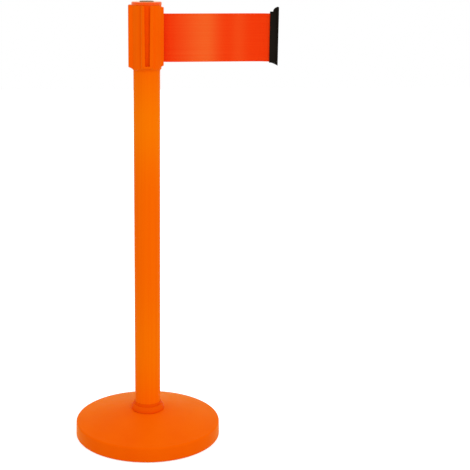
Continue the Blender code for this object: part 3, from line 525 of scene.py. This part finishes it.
def cut_out(piece_mesh, *cutters):
    """The mesh with other meshes taken out of it by exact Booleans."""
    target = bpy.data.objects.new("cut_target", piece_mesh)
    tools = [bpy.data.objects.new("cutter", cutter) for cutter in cutters]
    for made in (target, *tools):
        bpy.context.scene.collection.objects.link(made)
    for tool in tools:
        boolean = target.modifiers.new("Cut", "BOOLEAN")
        boolean.solver = "EXACT"
        boolean.object = tool
    graph = bpy.context.evaluated_depsgraph_get()
    done = bpy.data.meshes.new_from_object(target.evaluated_get(graph))
    for made in (target, *tools):
        bpy.data.objects.remove(made)
    done.name = piece_mesh.name
    done.materials.clear()
    return closed_up(done)


def slot_floors(ring_start):
    """Flat floors of the three slots, as faces on the first slotted ring, which starts at ring_start."""
    lobe_points = len(lobe_edge(CORE_RADIUS, LOBE_HALF_WIDTH, RECEIVER_REACH))
    slot_points = len(slot_edge(MOUTH_HALF_BOTTOM, RECEIVER_REACH))
    to_slot = CORE_ARC_POINTS - 1 + lobe_points
    plain = 2 * to_slot - 1
    slotted = plain + 2 * slot_points
    starts = ring_start + plain + np.arange(3) * slotted + to_slot
    return [np.arange(start, start + 2 * slot_points).tolist() for start in starts]


underside_levels = np.linspace(0.0, UNDERSIDE_RISES[-1], UNDERSIDE_LEVELS)
low_rings = [
    kept_within(
        head_ring(head_low.z + rise, exit_out=0.0, slots=False),
        np.interp(rise, UNDERSIDE_RISES, UNDERSIDE_RADII),
    )
    for rise in underside_levels
]
low_rings += [head_ring(EXIT_BOTTOM, slots=False), head_ring(SLOT_FLOOR, slots=False)]
high_rings = [head_ring(height) for height in np.linspace(SLOT_FLOOR, EXIT_TOP, SLOT_LEVELS)]
high_rings += [head_ring(EXIT_TOP + EXIT_STEP, exit_out=0.0)]
for angle in np.radians(np.linspace(0.0, LOBE_TOP_END, LOBE_TOP_LEVELS)):
    drawn_in = LOBE_TOP_ROUND * (1.0 - math.cos(angle))
    level = head_high.z - LOBE_TOP_ROUND * (1.0 - math.sin(angle))
    inset = LOBE_TOP_INSET * drawn_in
    high_rings.append(head_ring(level, inset, min(drawn_in, LOBE_TOP_DRAW), exit_out=0.0))
low_rings, high_rings = np.stack(low_rings), np.stack(high_rings)
low_index = np.arange(low_rings[..., 0].size).reshape(low_rings.shape[:2])
high_index = low_index.size + np.arange(high_rings[..., 0].size).reshape(high_rings.shape[:2])
housing_faces = grid_faces(low_index, wrap_columns=True) + grid_faces(high_index, wrap_columns=True)
housing_faces += [low_index[0, ::-1].tolist(), high_index[-1].tolist()]
housing_faces += slot_floors(low_index.size)
housing_mesh = bpy.data.meshes.new("head_moulding")
housing_points = np.vstack((low_rings.reshape(-1, 3), high_rings.reshape(-1, 3)))
housing_mesh.from_pydata(housing_points.tolist(), [], housing_faces)
closed_up(housing_mesh)

hollow_profile = np.array(
    [
        (0.0, head_low.z - CUT_PAST),
        (TUBE_RADIUS + GAP, head_low.z - CUT_PAST),
        (TUBE_RADIUS + GAP, SOCKET_TOP),
        (AXLE_HOLE, SOCKET_TOP),
        (AXLE_HOLE, FLOOR_TOP),
        (CHAMBER_RADIUS, FLOOR_TOP),
        (CHAMBER_RADIUS, head_high.z + CUT_PAST),
        (0.0, head_high.z + CUT_PAST),
    ]
)
head_hollow = turned_mesh("head_hollow", hollow_profile, HOLLOW_STEPS, ring=False)

# Belt exit, part of the housing: a slit whose far edge is a rounded lip that the belt bends over, at the
# bottom of a shallow recess that parks the clip's sleeve. The recess's edge is broken so that the belt
# doesn't chafe.
LIP_CENTRE = (0.031, 0.004)
LIP_RADIUS = 0.0031
LIP_END = 160.0
SLIT_NEAR_SIDE = -0.0016
SLIT_INNER_X = 0.021
SLIT_LOW, SLIT_HIGH = 0.8317, 0.9337
RECESS_FLOOR = 0.0318
RECESS_HALF_WIDTH = 0.0050
RECESS_LOW, RECESS_HIGH = 0.8285, 0.9385
RECESS_EDGE = 0.0008


def upright_mesh(name, outline, low, high):
    """An outline in the XY plane carried straight up from one height to another and closed at both ends."""
    heights = np.array((low, high))[:, None] + np.zeros(len(outline))
    points = np.dstack((np.broadcast_to(outline, (2, len(outline), 2)), heights))
    return closed_up(tube_mesh(name, points))


def recess_ring(x, widened):
    """The recess's rectangle at one depth, widened all round."""
    half = RECESS_HALF_WIDTH + widened
    low, high = RECESS_LOW - widened, RECESS_HIGH + widened
    return [(x, -half, low), (x, half, low), (x, half, high), (x, -half, high)]


lip_line = arc_points(LIP_CENTRE, LIP_RADIUS, 270.0, LIP_END, 12)
slit_outline = np.vstack(
    (
        [(SLIT_INNER_X, SLIT_NEAR_SIDE), (EXIT_REACH + CUT_PAST, SLIT_NEAR_SIDE)],
        [(EXIT_REACH + CUT_PAST, lip_line[0, 1])],
        lip_line,
        [(SLIT_INNER_X, lip_line[-1, 1])],
    )
)
slit_cutter = upright_mesh("slit_cutter", slit_outline, SLIT_LOW, SLIT_HIGH)
recess_points = np.array(
    [
        recess_ring(RECESS_FLOOR, 0.0),
        recess_ring(EXIT_REACH - RECESS_EDGE, 0.0),
        recess_ring(EXIT_REACH + RECESS_EDGE, 2 * RECESS_EDGE),
    ]
)
recess_cutter = closed_up(tube_mesh("recess_cutter", recess_points))

# Screw seats, part of the housing: three counterbored holes in the floor, over the tube's top plug. The
# screws go down through them into the plug, so that the head can't be pulled off the tube.
SCREW_CIRCLE = 0.017
SCREW_FIRST, SCREW_LAST, SCREW_COUNT = 60.0, 300.0, 3
SCREW_HOLE = 0.0020
SCREW_POCKET_RADIUS = 0.0037
SCREW_POCKET = 0.0026
SCREW_STEPS = 32


def round_pin(name, centre, radius, low, high):
    """An upright round pin, for cutting holes."""
    outline = arc_points(centre, radius, 0.0, 360.0, SCREW_STEPS + 1)[:-1]
    return upright_mesh(name, outline, low, high)


screw_cutters = []
for screw_centre in arc_points((0.0, 0.0), SCREW_CIRCLE, SCREW_FIRST, SCREW_LAST, SCREW_COUNT):
    pocket_floor = FLOOR_TOP - SCREW_POCKET
    pocket = round_pin("screw_pocket", screw_centre, SCREW_POCKET_RADIUS, pocket_floor, FLOOR_TOP + CUT_PAST)
    hole = round_pin("screw_hole", screw_centre, SCREW_HOLE, head_low.z, FLOOR_TOP)
    screw_cutters += [pocket, hole]


# Housing put together: the chamber, the exit and the screw seats are cut out of the outer form. The
# receivers' slots are painted a redder orange than the faces: painted shade, for the light that falls into
# them and is thrown from wall to wall.
def slot_depth(points):
    """How deep a point lies in a receiver slot, from 0 at the lobe's face to 1 in the groove."""
    x, y, z = points.T
    depth = np.zeros(len(points))
    for out, across in ((-x, y), (-y, x), (y, x)):
        inside = (abs(across) < SLOT_HALF_WIDTH + GAP) & (out > SLOT_BACK - GAP) & (z < head_high.z - GAP)
        depth += inside * np.clip((RECEIVER_REACH - out) / (RECEIVER_REACH - SLOT_FRONT), 0.0, 1.0)
    return depth


head_moulding = cut_out(housing_mesh, head_hollow, slit_cutter, recess_cutter, *screw_cutters)
mark_points(head_moulding, "slot_depth", slot_depth)
head_plastic = moulded_plastic("head_plastic", ORANGE_DEEP, ORANGE_BRIGHT)
add_bloom(head_plastic, MOULDING_BLOOM)
head_shader = head_plastic.node_tree.nodes["Principled BSDF"]
face_colour = head_shader.inputs["Base Color"].links[0].from_socket
# Painted shade: a redder, darker orange deeper in the receiver slots.
slot_shade_share = add_node(head_plastic, "ShaderNodeAttribute", attribute_name="slot_depth").outputs["Fac"]
paint(head_plastic, head_shader, slot_shade_share, face_colour, screen_colour(252, 84, 0))
show_piece("head_moulding", head_moulding, head_plastic, "stand", "orange_moulding", "head_housing")

# Cassette in the head: bushes of black acetal on the axle, and a return spring of blued steel strip in its
# cup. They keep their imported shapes.
black_plastic = moulded_plastic(
    "black_moulding", screen_colour(20, 16, 13), screen_colour(28, 23, 19), roughness=0.5, specular=0.03
)
dress(black_plastic, "lower_bush", "upper_bush")

blued_steel, blued_shader = new_finish("blued_strip", roughness=0.3, metallic=1.0)
blued_bands = spread(blued_steel, cloud(blued_steel, scale=300.0, stretch=(1.0, 1.0, 0.1)))
paint(blued_steel, blued_shader, blued_bands, screen_colour(92, 100, 118), screen_colour(138, 138, 136))
dress(blued_steel, "power_spring")

# Belt on the spool: woven polyester webbing, 100 mm wide and 0.42 mm thick, wound up in close turns between
# the spool's core and the last turn, which the drawn belt leaves.
BELT_WIDTH = 0.100
BELT_BOTTOM = 0.8327
BELT_THICKNESS = 0.00042
ROLL_INNER = 0.0098
ROLL_OUTER = 0.0227
ROLL_TURNS = 27
ROLL_STEPS_PER_TURN = 48
SELVEDGE_REACH = 0.02


def strip_mesh(name, line, ring):
    """A closed ring of (offset, height) carried square to a line in the XY plane, and closed at both ends.

    Its UV map holds the length along the line and the height, both in metres, for a weave that follows it.
    """
    along = np.gradient(line, axis=0)
    along /= np.linalg.norm(along, axis=1)[:, None]
    square = np.column_stack((-along[:, 1], along[:, 0]))
    offset = line[:, None, :] + square[:, None, :] * ring[None, :, :1]
    points = np.dstack((offset, np.broadcast_to(ring[:, 1], offset.shape[:2])))
    mesh = tube_mesh(name, points)
    steps = np.linalg.norm(np.diff(line, axis=0), axis=1)
    length = np.concatenate(([0.0], np.cumsum(steps)))
    by_point = np.dstack(np.broadcast_arrays(length[:, None], ring[None, :, 1])).reshape(-1, 2)
    corners = np.empty(len(mesh.loops), dtype=np.int32)
    mesh.loops.foreach_get("vertex_index", corners)
    mesh.uv_layers.new(name="weave").data.foreach_set("uv", by_point[corners].astype(np.float32).ravel())
    return closed_up(mesh), float(length[-1])


def webbing_ring(selvedge, count):
    """Cross-section of the webbing as (offset, height), with count points on each flat face.

    The woven edges are thicker by a share, selvedge, that fades as e to the power of minus the way in.
    """
    share = np.linspace(0.0, 1.0, count)
    edge = np.exp(-np.minimum(share, 1.0 - share) / SELVEDGE_REACH)
    half = BELT_THICKNESS / 2 * (1.0 + selvedge * edge)
    height = BELT_BOTTOM + BELT_WIDTH * share
    near = np.column_stack((-half, height))
    far = np.column_stack((half, height))
    return np.vstack((near, far[::-1]))


webbing, webbing_shader = new_finish("woven_webbing", roughness=0.6, specular=0.02)
weave_place = add_node(webbing, "ShaderNodeTexCoord").outputs["UV"]
warp_sources = [("Vector", weave_place), ("Scale", 260.0)]
warp = add_node(webbing, "ShaderNodeTexWave", warp_sources, bands_direction="Y").outputs["Fac"]
weft_sources = [("Vector", weave_place), ("Scale", 420.0)]
weft = add_node(webbing, "ShaderNodeTexWave", weft_sources, bands_direction="X").outputs["Fac"]
streaks = spread(webbing, cloud(webbing, scale=420.0, stretch=(0.01, 1.0, 1.0), coordinates="UV"))
# Painted sheen: paler bands along the drawn belt stand in for the satin weave's highlight, in broad bands by
# x.
plain_weave_colour = colour_mix(webbing, streaks, screen_colour(252, 56, 6), screen_colour(254, 66, 12))
painted_sheen_colour = colour_mix(webbing, streaks, screen_colour(255, 96, 32), screen_colour(255, 104, 40))
painted_sheen_share = add_node(webbing, "ShaderNodeAttribute", attribute_name="painted_sheen").outputs["Fac"]
paint(webbing, webbing_shader, painted_sheen_share, plain_weave_colour, painted_sheen_colour)
relief(webbing, webbing_shader, warp, depth=0.00012)
relief(webbing, webbing_shader, weft, depth=0.00008)

roll_turn = np.linspace(0.0, ROLL_TURNS * 2 * np.pi, ROLL_TURNS * ROLL_STEPS_PER_TURN + 1)
roll_radius = np.linspace(ROLL_INNER + BELT_THICKNESS, ROLL_OUTER - BELT_THICKNESS, len(roll_turn))
roll_line = np.column_stack((roll_radius * np.cos(roll_turn), roll_radius * np.sin(roll_turn)))
wound_mesh, wound_length = strip_mesh("wound_belt", roll_line, webbing_ring(0.0, 2))
wound_belt = show_piece("wound_belt", wound_mesh, webbing, "spool", "webbing", "belt_roll")

# Cap: a glossy red-orange moulding with a rounded edge, pushed into the housing over the cassette. A bare
# grey-brown disc sits in the recess in its top and stands 1.6 mm proud.
CAP_RADIUS = CORE_RADIUS
CAP_ROUND = 0.0026
CAP_LOW = 0.9506
CAP_TOP = 0.957
CAP_ROOF = 0.9542
CAP_SKIRT_RADIUS = 0.0272
CAP_SKIRT_WALL = 0.002
CAP_SKIRT_BOTTOM = 0.9472
CAP_SOCKET_RADIUS = 0.0043
CAP_SOCKET_TOP = 0.9518
CAP_BOSS_RADIUS = 0.007
CAP_BOSS_BOTTOM = 0.9472
INLAY_RADIUS = 0.0145
INLAY_RECESS = 0.0008
INLAY_ROUND = 0.0004
INLAY_TOP = 0.9586
CAP_STEPS = 128
inlay_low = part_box("cap_inlay")[0]
recess_radius = INLAY_RADIUS + GAP
skirt_inner = CAP_SKIRT_RADIUS - CAP_SKIRT_WALL
cap_profile = np.vstack(
    (
        [(0.0, CAP_TOP - INLAY_RECESS), (recess_radius, CAP_TOP - INLAY_RECESS), (recess_radius, CAP_TOP)],
        arc_points((CAP_RADIUS - CAP_ROUND, CAP_TOP - CAP_ROUND), CAP_ROUND, 90.0, 0.0, 12),
        [(CAP_RADIUS, CAP_LOW), (CAP_SKIRT_RADIUS, CAP_LOW), (CAP_SKIRT_RADIUS, CAP_SKIRT_BOTTOM)],
        [(skirt_inner, CAP_SKIRT_BOTTOM), (skirt_inner, CAP_ROOF)],
        [(CAP_BOSS_RADIUS, CAP_ROOF), (CAP_BOSS_RADIUS, CAP_BOSS_BOTTOM)],
        [(CAP_SOCKET_RADIUS, CAP_BOSS_BOTTOM), (CAP_SOCKET_RADIUS, CAP_SOCKET_TOP), (0.0, CAP_SOCKET_TOP)],
    )
)
cap_plastic = moulded_plastic(
    "cap_plastic", screen_colour(252, 80, 0), screen_colour(255, 86, 0), roughness=0.1, specular=0.25
)
add_bloom(cap_plastic, MOULDING_BLOOM)
cap_mesh = turned_mesh("cap_moulding", cap_profile, CAP_STEPS, ring=False)
show_piece("cap_moulding", cap_mesh, cap_plastic, "stand", "orange_moulding", "head_cap")

inlay_profile = np.vstack(
    (
        [(0.0, INLAY_TOP)],
        arc_points((INLAY_RADIUS - INLAY_ROUND, INLAY_TOP - INLAY_ROUND), INLAY_ROUND, 90.0, 0.0, 5),
        [(INLAY_RADIUS, inlay_low.z), (0.0, inlay_low.z)],
    )
)
inlay_skin, inlay_shader = new_finish("bare_disc", roughness=0.6, specular=0.2)
inlay_cloud = spread(inlay_skin, cloud(inlay_skin, scale=300.0))
paint(inlay_skin, inlay_shader, inlay_cloud, screen_colour(150, 121, 92), screen_colour(166, 136, 104))
relief(inlay_skin, inlay_shader, cloud(inlay_skin, scale=1600.0), depth=0.00002)
inlay_mesh = turned_mesh("bare_disc", inlay_profile, CAP_STEPS, ring=False)
show_piece("bare_disc", inlay_mesh, inlay_skin, "stand", "inlay_grey", "cap_inlay")

# Drawn belt: the same webbing from the roll's last turn, over the exit's lip and out to the clip, where its
# end is sewn in a loop round a rod. It hangs in a shallow wave from head to clip, and pays out as the clip
# is pulled.
BELT_SELVEDGE = 0.25
BELT_FACE_POINTS = 21
FREE_POINTS = 120
BEND_RADIUS = 0.004
WRAP_CLEARANCE = 0.0005
WRAP_DEGREES = 150.0
ROD_CENTRE = (0.2628, 0.0)
LOOP_RADIUS = 0.0023
LOOP_FILLET = 0.0008
LOOP_DEGREES = 312.0
PARK_TRAVEL = 0.225
GATHER_X = 0.0252
LEAD_X, LEAD_SLOPE = 0.033, 0.20
TAIL_X, TAIL_SLOPE = 0.2562, 0.28
WAVE_MIDDLE = 0.140
CORNER_SHARPNESS = 120.0
BLEND_START_X = 0.0210
ALONG_RATE, ACROSS_RATE = 4.56, 30.0
FREE_START, FREE_END = 0.038, 0.2570
HOLD_SHARE = 8.0
SHEEN_PLACE = 0.124
SHEEN_RISE, SHEEN_FALL = 0.050, 0.026
SECOND_SHEEN_PLACE = 0.193
SECOND_SHEEN_WIDTH = 0.016
SECOND_SHEEN_SHARE = 0.3


def sheen_fade(x):
    """How far the painted sheen shows at x: 0 at the head and the clip, which hold the belt, with smooth
    steps up to 1 between.
    """
    free = np.clip((x - FREE_START) / (FREE_END - FREE_START), 0.0, 1.0)
    share = np.clip(HOLD_SHARE * np.minimum(free, 1.0 - free), 0.0, 1.0)
    return share**2 * (3.0 - 2.0 * share)


def painted_sheen_by_x(points):
    """How much painted sheen the weave takes, from 0 to 1 by x: a long swell, steeper to the clip, and a
    second narrow band.
    """
    x = points[:, 0]
    long_sheen = swell(x, SHEEN_PLACE, np.where(x < SHEEN_PLACE, SHEEN_RISE, SHEEN_FALL))
    return (long_sheen + SECOND_SHEEN_SHARE * swell(x, SECOND_SHEEN_PLACE, SECOND_SHEEN_WIDTH)) * sheen_fade(x)


def lower_of(first, second):
    """The smaller of two curves, with the corner where they cross rounded off."""
    return -np.logaddexp(-CORNER_SHARPNESS * first, -CORNER_SHARPNESS * second) / CORNER_SHARPNESS


def higher_of(first, second):
    """The larger of two curves, rounded off in the same way."""
    return -lower_of(-first, -second)


def sideways(x):
    """The belt's wave off its straight line, which lets the parked belt gather at one place in the head.

    Each point takes a share of the pull: the smooth step of along rate x (x - start) - across rate x wave.
    The parked belt lies at GATHER_X where that share is (x - gather) / travel. So the wave is the straight
    part less the inverse smooth step of this share, over the across rate. Slopes lead it in at the head and
    out at the clip.
    """
    straight = (x - BLEND_START_X) * ALONG_RATE
    taken_back = np.clip((x - GATHER_X) / PARK_TRAVEL, 0.0, 1.0)
    gathered = 0.5 - np.sin(np.arcsin(1.0 - 2.0 * taken_back) / 3.0)
    lead = straight + ACROSS_RATE * LEAD_SLOPE * (x - LEAD_X)
    tail = straight + ACROSS_RATE * TAIL_SLOPE * (x - TAIL_X)
    near_head = lower_of(higher_of(straight, lead), gathered)
    near_clip = lower_of(higher_of(gathered, tail), straight)
    return (straight - np.where(x < WAVE_MIDDLE, near_head, near_clip)) / ACROSS_RATE


wrap_radius = ROLL_OUTER + WRAP_CLEARANCE + BELT_THICKNESS / 2
lip_away = math.hypot(*LIP_CENTRE)
leave = math.degrees(
    math.atan2(LIP_CENTRE[1], LIP_CENTRE[0]) + math.acos((wrap_radius + BEND_RADIUS) / lip_away)
)
fillet_x = ROD_CENTRE[0] - math.sqrt((LOOP_RADIUS + LOOP_FILLET) ** 2 - LOOP_FILLET**2)
fillet_end = 360.0 - math.degrees(math.asin(LOOP_FILLET / (LOOP_RADIUS + LOOP_FILLET)))
free_x = np.linspace(LIP_CENTRE[0], fillet_x, FREE_POINTS)
free_line = np.column_stack((free_x, sideways(free_x)))
belt_line = np.vstack(
    (
        arc_points((0.0, 0.0), wrap_radius, leave + WRAP_DEGREES, leave, 40),
        arc_points(LIP_CENTRE, BEND_RADIUS, leave + 180.0, 270.0, 12)[:-1],
        free_line[:-1],
        arc_points((fillet_x, LOOP_FILLET), LOOP_FILLET, 270.0, fillet_end, 8)[:-1],
        arc_points(ROD_CENTRE, LOOP_RADIUS, fillet_end - 180.0, fillet_end - 180.0 - LOOP_DEGREES, 40),
    )
)
belt_ring = webbing_ring(BELT_SELVEDGE, BELT_FACE_POINTS)
belt_mesh, belt_length = strip_mesh("drawn_belt", belt_line, belt_ring)
# Painted sheen: paler bands by x stand in for the satin weave's highlight.
mark_points(belt_mesh, "painted_sheen", painted_sheen_by_x)
drawn_belt = put_in_scene("drawn_belt", belt_mesh)
belt_mesh.materials.append(webbing)
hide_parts("belt")
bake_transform(drawn_belt)

# Belt clip: a black moulding with a narrow sleeve, keyed on to the belt's loop, and a taller plate at its
# end that slides down into another post's receiver. Its top swells up to the plate and its foot flares out.
CLIP_INNER_X = 0.2575
CLIP_FOOT_X = 0.2600
CLIP_SWELL_X = 0.2640
CLIP_FLARE_X = 0.2704
CLIP_RIM_X = 0.2714
CLIP_OUTER_X = 0.2750
CLIP_EDGE = 0.0006
CLIP_SLEEVE_HALF = 0.0043
CLIP_PLATE_HALF = 0.0080
CLIP_FOOT_TAPER = 0.82
CLIP_SLEEVE_LOW, CLIP_SLEEVE_HIGH = 0.8305, 0.9365
CLIP_PLATE_LOW, CLIP_PLATE_HIGH = 0.8243, 0.9461
CLIP_CORNER = 0.0018
CLIP_FOOT_POWER = 1.5
KEY_SLIT_HALF = 0.0008
KEY_BORE = 0.0031
KEY_TOP = 0.9337


def clip_ring(x):
    """The clip's rounded outline at one x: the plate's flare, the top's swell and the foot grow with x.

    The swell is a quarter ellipse, the foot a power curve, and both ends are drawn in to broken edges.
    """
    flare = np.clip((x - CLIP_FLARE_X) / (CLIP_RIM_X - CLIP_FLARE_X), 0.0, 1.0) ** 2
    away = np.clip((x - CLIP_SWELL_X) / (CLIP_OUTER_X - CLIP_SWELL_X), 0.0, 1.0)
    drop = np.clip((x - CLIP_FOOT_X) / (CLIP_OUTER_X - CLIP_FOOT_X), 0.0, 1.0) ** CLIP_FOOT_POWER
    near_end = min(x - CLIP_INNER_X, CLIP_OUTER_X - x)
    edge = CLIP_EDGE - math.sqrt(CLIP_EDGE**2 - max(0.0, CLIP_EDGE - near_end) ** 2)
    half_top = CLIP_SLEEVE_HALF + (CLIP_PLATE_HALF - CLIP_SLEEVE_HALF) * flare - edge
    half_foot = max(CLIP_SLEEVE_HALF, half_top * CLIP_FOOT_TAPER) - edge
    rise = (CLIP_PLATE_HIGH - CLIP_SLEEVE_HIGH) * math.sqrt(1.0 - (1.0 - away) ** 2)
    top = CLIP_SLEEVE_HIGH + rise - edge
    foot = CLIP_SLEEVE_LOW - (CLIP_SLEEVE_LOW - CLIP_PLATE_LOW) * drop + edge
    upper = arc_points((half_top - CLIP_CORNER, top - CLIP_CORNER), CLIP_CORNER, 0.0, 90.0, 8)
    lower = arc_points((half_foot - CLIP_CORNER, foot + CLIP_CORNER), CLIP_CORNER, -90.0, 0.0, 8)
    outline = mirrored(np.vstack((lower, upper)))
    return np.column_stack((np.full(len(outline), x), outline))


edge_steps = CLIP_EDGE * (1.0 - np.cos(np.linspace(0.0, np.pi / 2, 5)))
clip_stations = np.unique(
    np.concatenate(
        (
            CLIP_INNER_X + edge_steps,
            np.linspace(CLIP_INNER_X + CLIP_EDGE, CLIP_SWELL_X, 5),
            CLIP_SWELL_X + (CLIP_FLARE_X - CLIP_SWELL_X) * np.linspace(0.0, 1.0, 9) ** 2,
            np.linspace(CLIP_FLARE_X, CLIP_RIM_X, 6),
            np.linspace(CLIP_RIM_X, CLIP_OUTER_X - CLIP_EDGE, 5),
            CLIP_OUTER_X - edge_steps,
        )
    ).round(7)
)
clip_body = closed_up(tube_mesh("clip_moulding", np.stack([clip_ring(x) for x in clip_stations])))
bore_turn = math.degrees(math.asin(KEY_SLIT_HALF / KEY_BORE))
key_outline = np.vstack(
    (
        [(CLIP_INNER_X - CUT_PAST, -KEY_SLIT_HALF)],
        arc_points(ROD_CENTRE, KEY_BORE, -180.0 + bore_turn, 180.0 - bore_turn, 40),
        [(CLIP_INNER_X - CUT_PAST, KEY_SLIT_HALF)],
    )
)
key_cutter = upright_mesh("key_cutter", key_outline, CLIP_PLATE_LOW - CUT_PAST, KEY_TOP)
clip_mesh = cut_out(clip_body, key_cutter)
show_piece("clip_moulding", clip_mesh, black_plastic, "belt_end", "black_plastic", "belt_clip")

# Studio: a white floor that keeps a faint shadow, white all round, and one soft lamp in front to the right.
# The camera stands at the photograph's angle: in front, a little to the left and looking down on the base.
IMAGE_SIDE = 470
FOCAL_PIXELS = 1145.5
SENSOR_WIDTH = 36.0
CENTRE_PIXEL = (180.0, 214.0)
CAMERA_PITCH = 13.533
CAMERA_TURN = -3.768
CAMERA_ROLL = 0.221
CAMERA_OFFSET = 0.0708
CAMERA_DISTANCE = 2.4013
CAMERA_HEIGHT = 1.0841
ROOM_LEVEL = 0.87
FLOOR_HALF = 6.0
FLOOR_COLOUR = (0.82, 0.82, 0.82, 1.0)
FLOOR_GLOW = 0.6
LAMP_PLACE = (1.2, -2.8, 1.9)
LAMP_AIM = (0.0, 0.0, 0.5)
LAMP_SIZE = 0.7
LAMP_POWER = 14.0
camera_data = bpy.data.cameras.new("camera")
camera = put_in_scene("camera", camera_data)
bpy.context.scene.camera = camera
turn = math.radians(CAMERA_TURN)
camera.location = (
    CAMERA_OFFSET * math.cos(turn) + CAMERA_DISTANCE * math.sin(turn),
    CAMERA_OFFSET * math.sin(turn) - CAMERA_DISTANCE * math.cos(turn),
    CAMERA_HEIGHT,
)
tilt = math.radians(90.0 - CAMERA_PITCH)
roll = math.radians(CAMERA_ROLL)
aimed = Matrix.Rotation(turn, 3, "Z") @ Matrix.Rotation(tilt, 3, "X") @ Matrix.Rotation(roll, 3, "Z")
camera.rotation_euler = aimed.to_euler()
camera_data.sensor_width = SENSOR_WIDTH
camera_data.lens = SENSOR_WIDTH * FOCAL_PIXELS / IMAGE_SIDE
camera_data.shift_x = (IMAGE_SIDE / 2 - CENTRE_PIXEL[0]) / IMAGE_SIDE
camera_data.shift_y = (CENTRE_PIXEL[1] - IMAGE_SIDE / 2) / IMAGE_SIDE


def seen_directly(material):
    """1 for rays from the camera and for reflected and transmitted rays, 0 for light on matt surfaces."""
    rays = add_node(material, "ShaderNodeLightPath").outputs
    first = [(0, rays["Is Camera Ray"]), (1, rays["Is Glossy Ray"])]
    camera_or_glossy = add_node(material, "ShaderNodeMath", first, operation="MAXIMUM").outputs[0]
    second = [(0, camera_or_glossy), (1, rays["Is Transmission Ray"])]
    return add_node(material, "ShaderNodeMath", second, operation="MAXIMUM").outputs[0]


bpy.context.scene.view_settings.view_transform = "Standard"
world = bpy.data.worlds.new("white_studio")
bpy.context.scene.world = world
world.use_nodes = True
background = world.node_tree.nodes["Background"]
background.inputs["Color"].default_value = (1.0, 1.0, 1.0, 1.0)
level_sources = [("Value", seen_directly(world)), ("To Min", ROOM_LEVEL), ("To Max", 1.0)]
level = add_node(world, "ShaderNodeMapRange", level_sources).outputs["Result"]
world.node_tree.links.new(level, background.inputs["Strength"])

floor_mesh = bpy.data.meshes.new("studio_floor")
floor_corners = FLOOR_HALF * np.array([(-1, -1, 0), (1, -1, 0), (1, 1, 0), (-1, 1, 0)])
floor_mesh.from_pydata(floor_corners.tolist(), [], [(0, 1, 2, 3)])
floor = put_in_scene("studio_floor", floor_mesh)
floor_paint, floor_shader = new_finish("studio_white", roughness=0.9, specular=0.0)
floor_shader.inputs["Base Color"].default_value = FLOOR_COLOUR
floor_shader.inputs["Emission Color"].default_value = (1.0, 1.0, 1.0, 1.0)
glow_sources = [("Value", seen_directly(floor_paint)), ("To Min", 0.0), ("To Max", FLOOR_GLOW)]
glow = add_node(floor_paint, "ShaderNodeMapRange", glow_sources).outputs["Result"]
floor_paint.node_tree.links.new(glow, floor_shader.inputs["Emission Strength"])
floor_mesh.materials.append(floor_paint)

lamp_data = bpy.data.lights.new("soft_lamp", "AREA")
lamp_data.shape = "DISK"
lamp_data.size = LAMP_SIZE
lamp_data.energy = LAMP_POWER
lamp = put_in_scene("soft_lamp", lamp_data)
lamp.location = LAMP_PLACE
aim = np.array(LAMP_AIM) - np.array(LAMP_PLACE)
lamp_tilt = math.acos(-aim[2] / np.linalg.norm(aim))
lamp_turn = math.atan2(aim[1], aim[0]) - math.pi / 2
lamp.rotation_euler = (lamp_tilt, 0.0, lamp_turn)
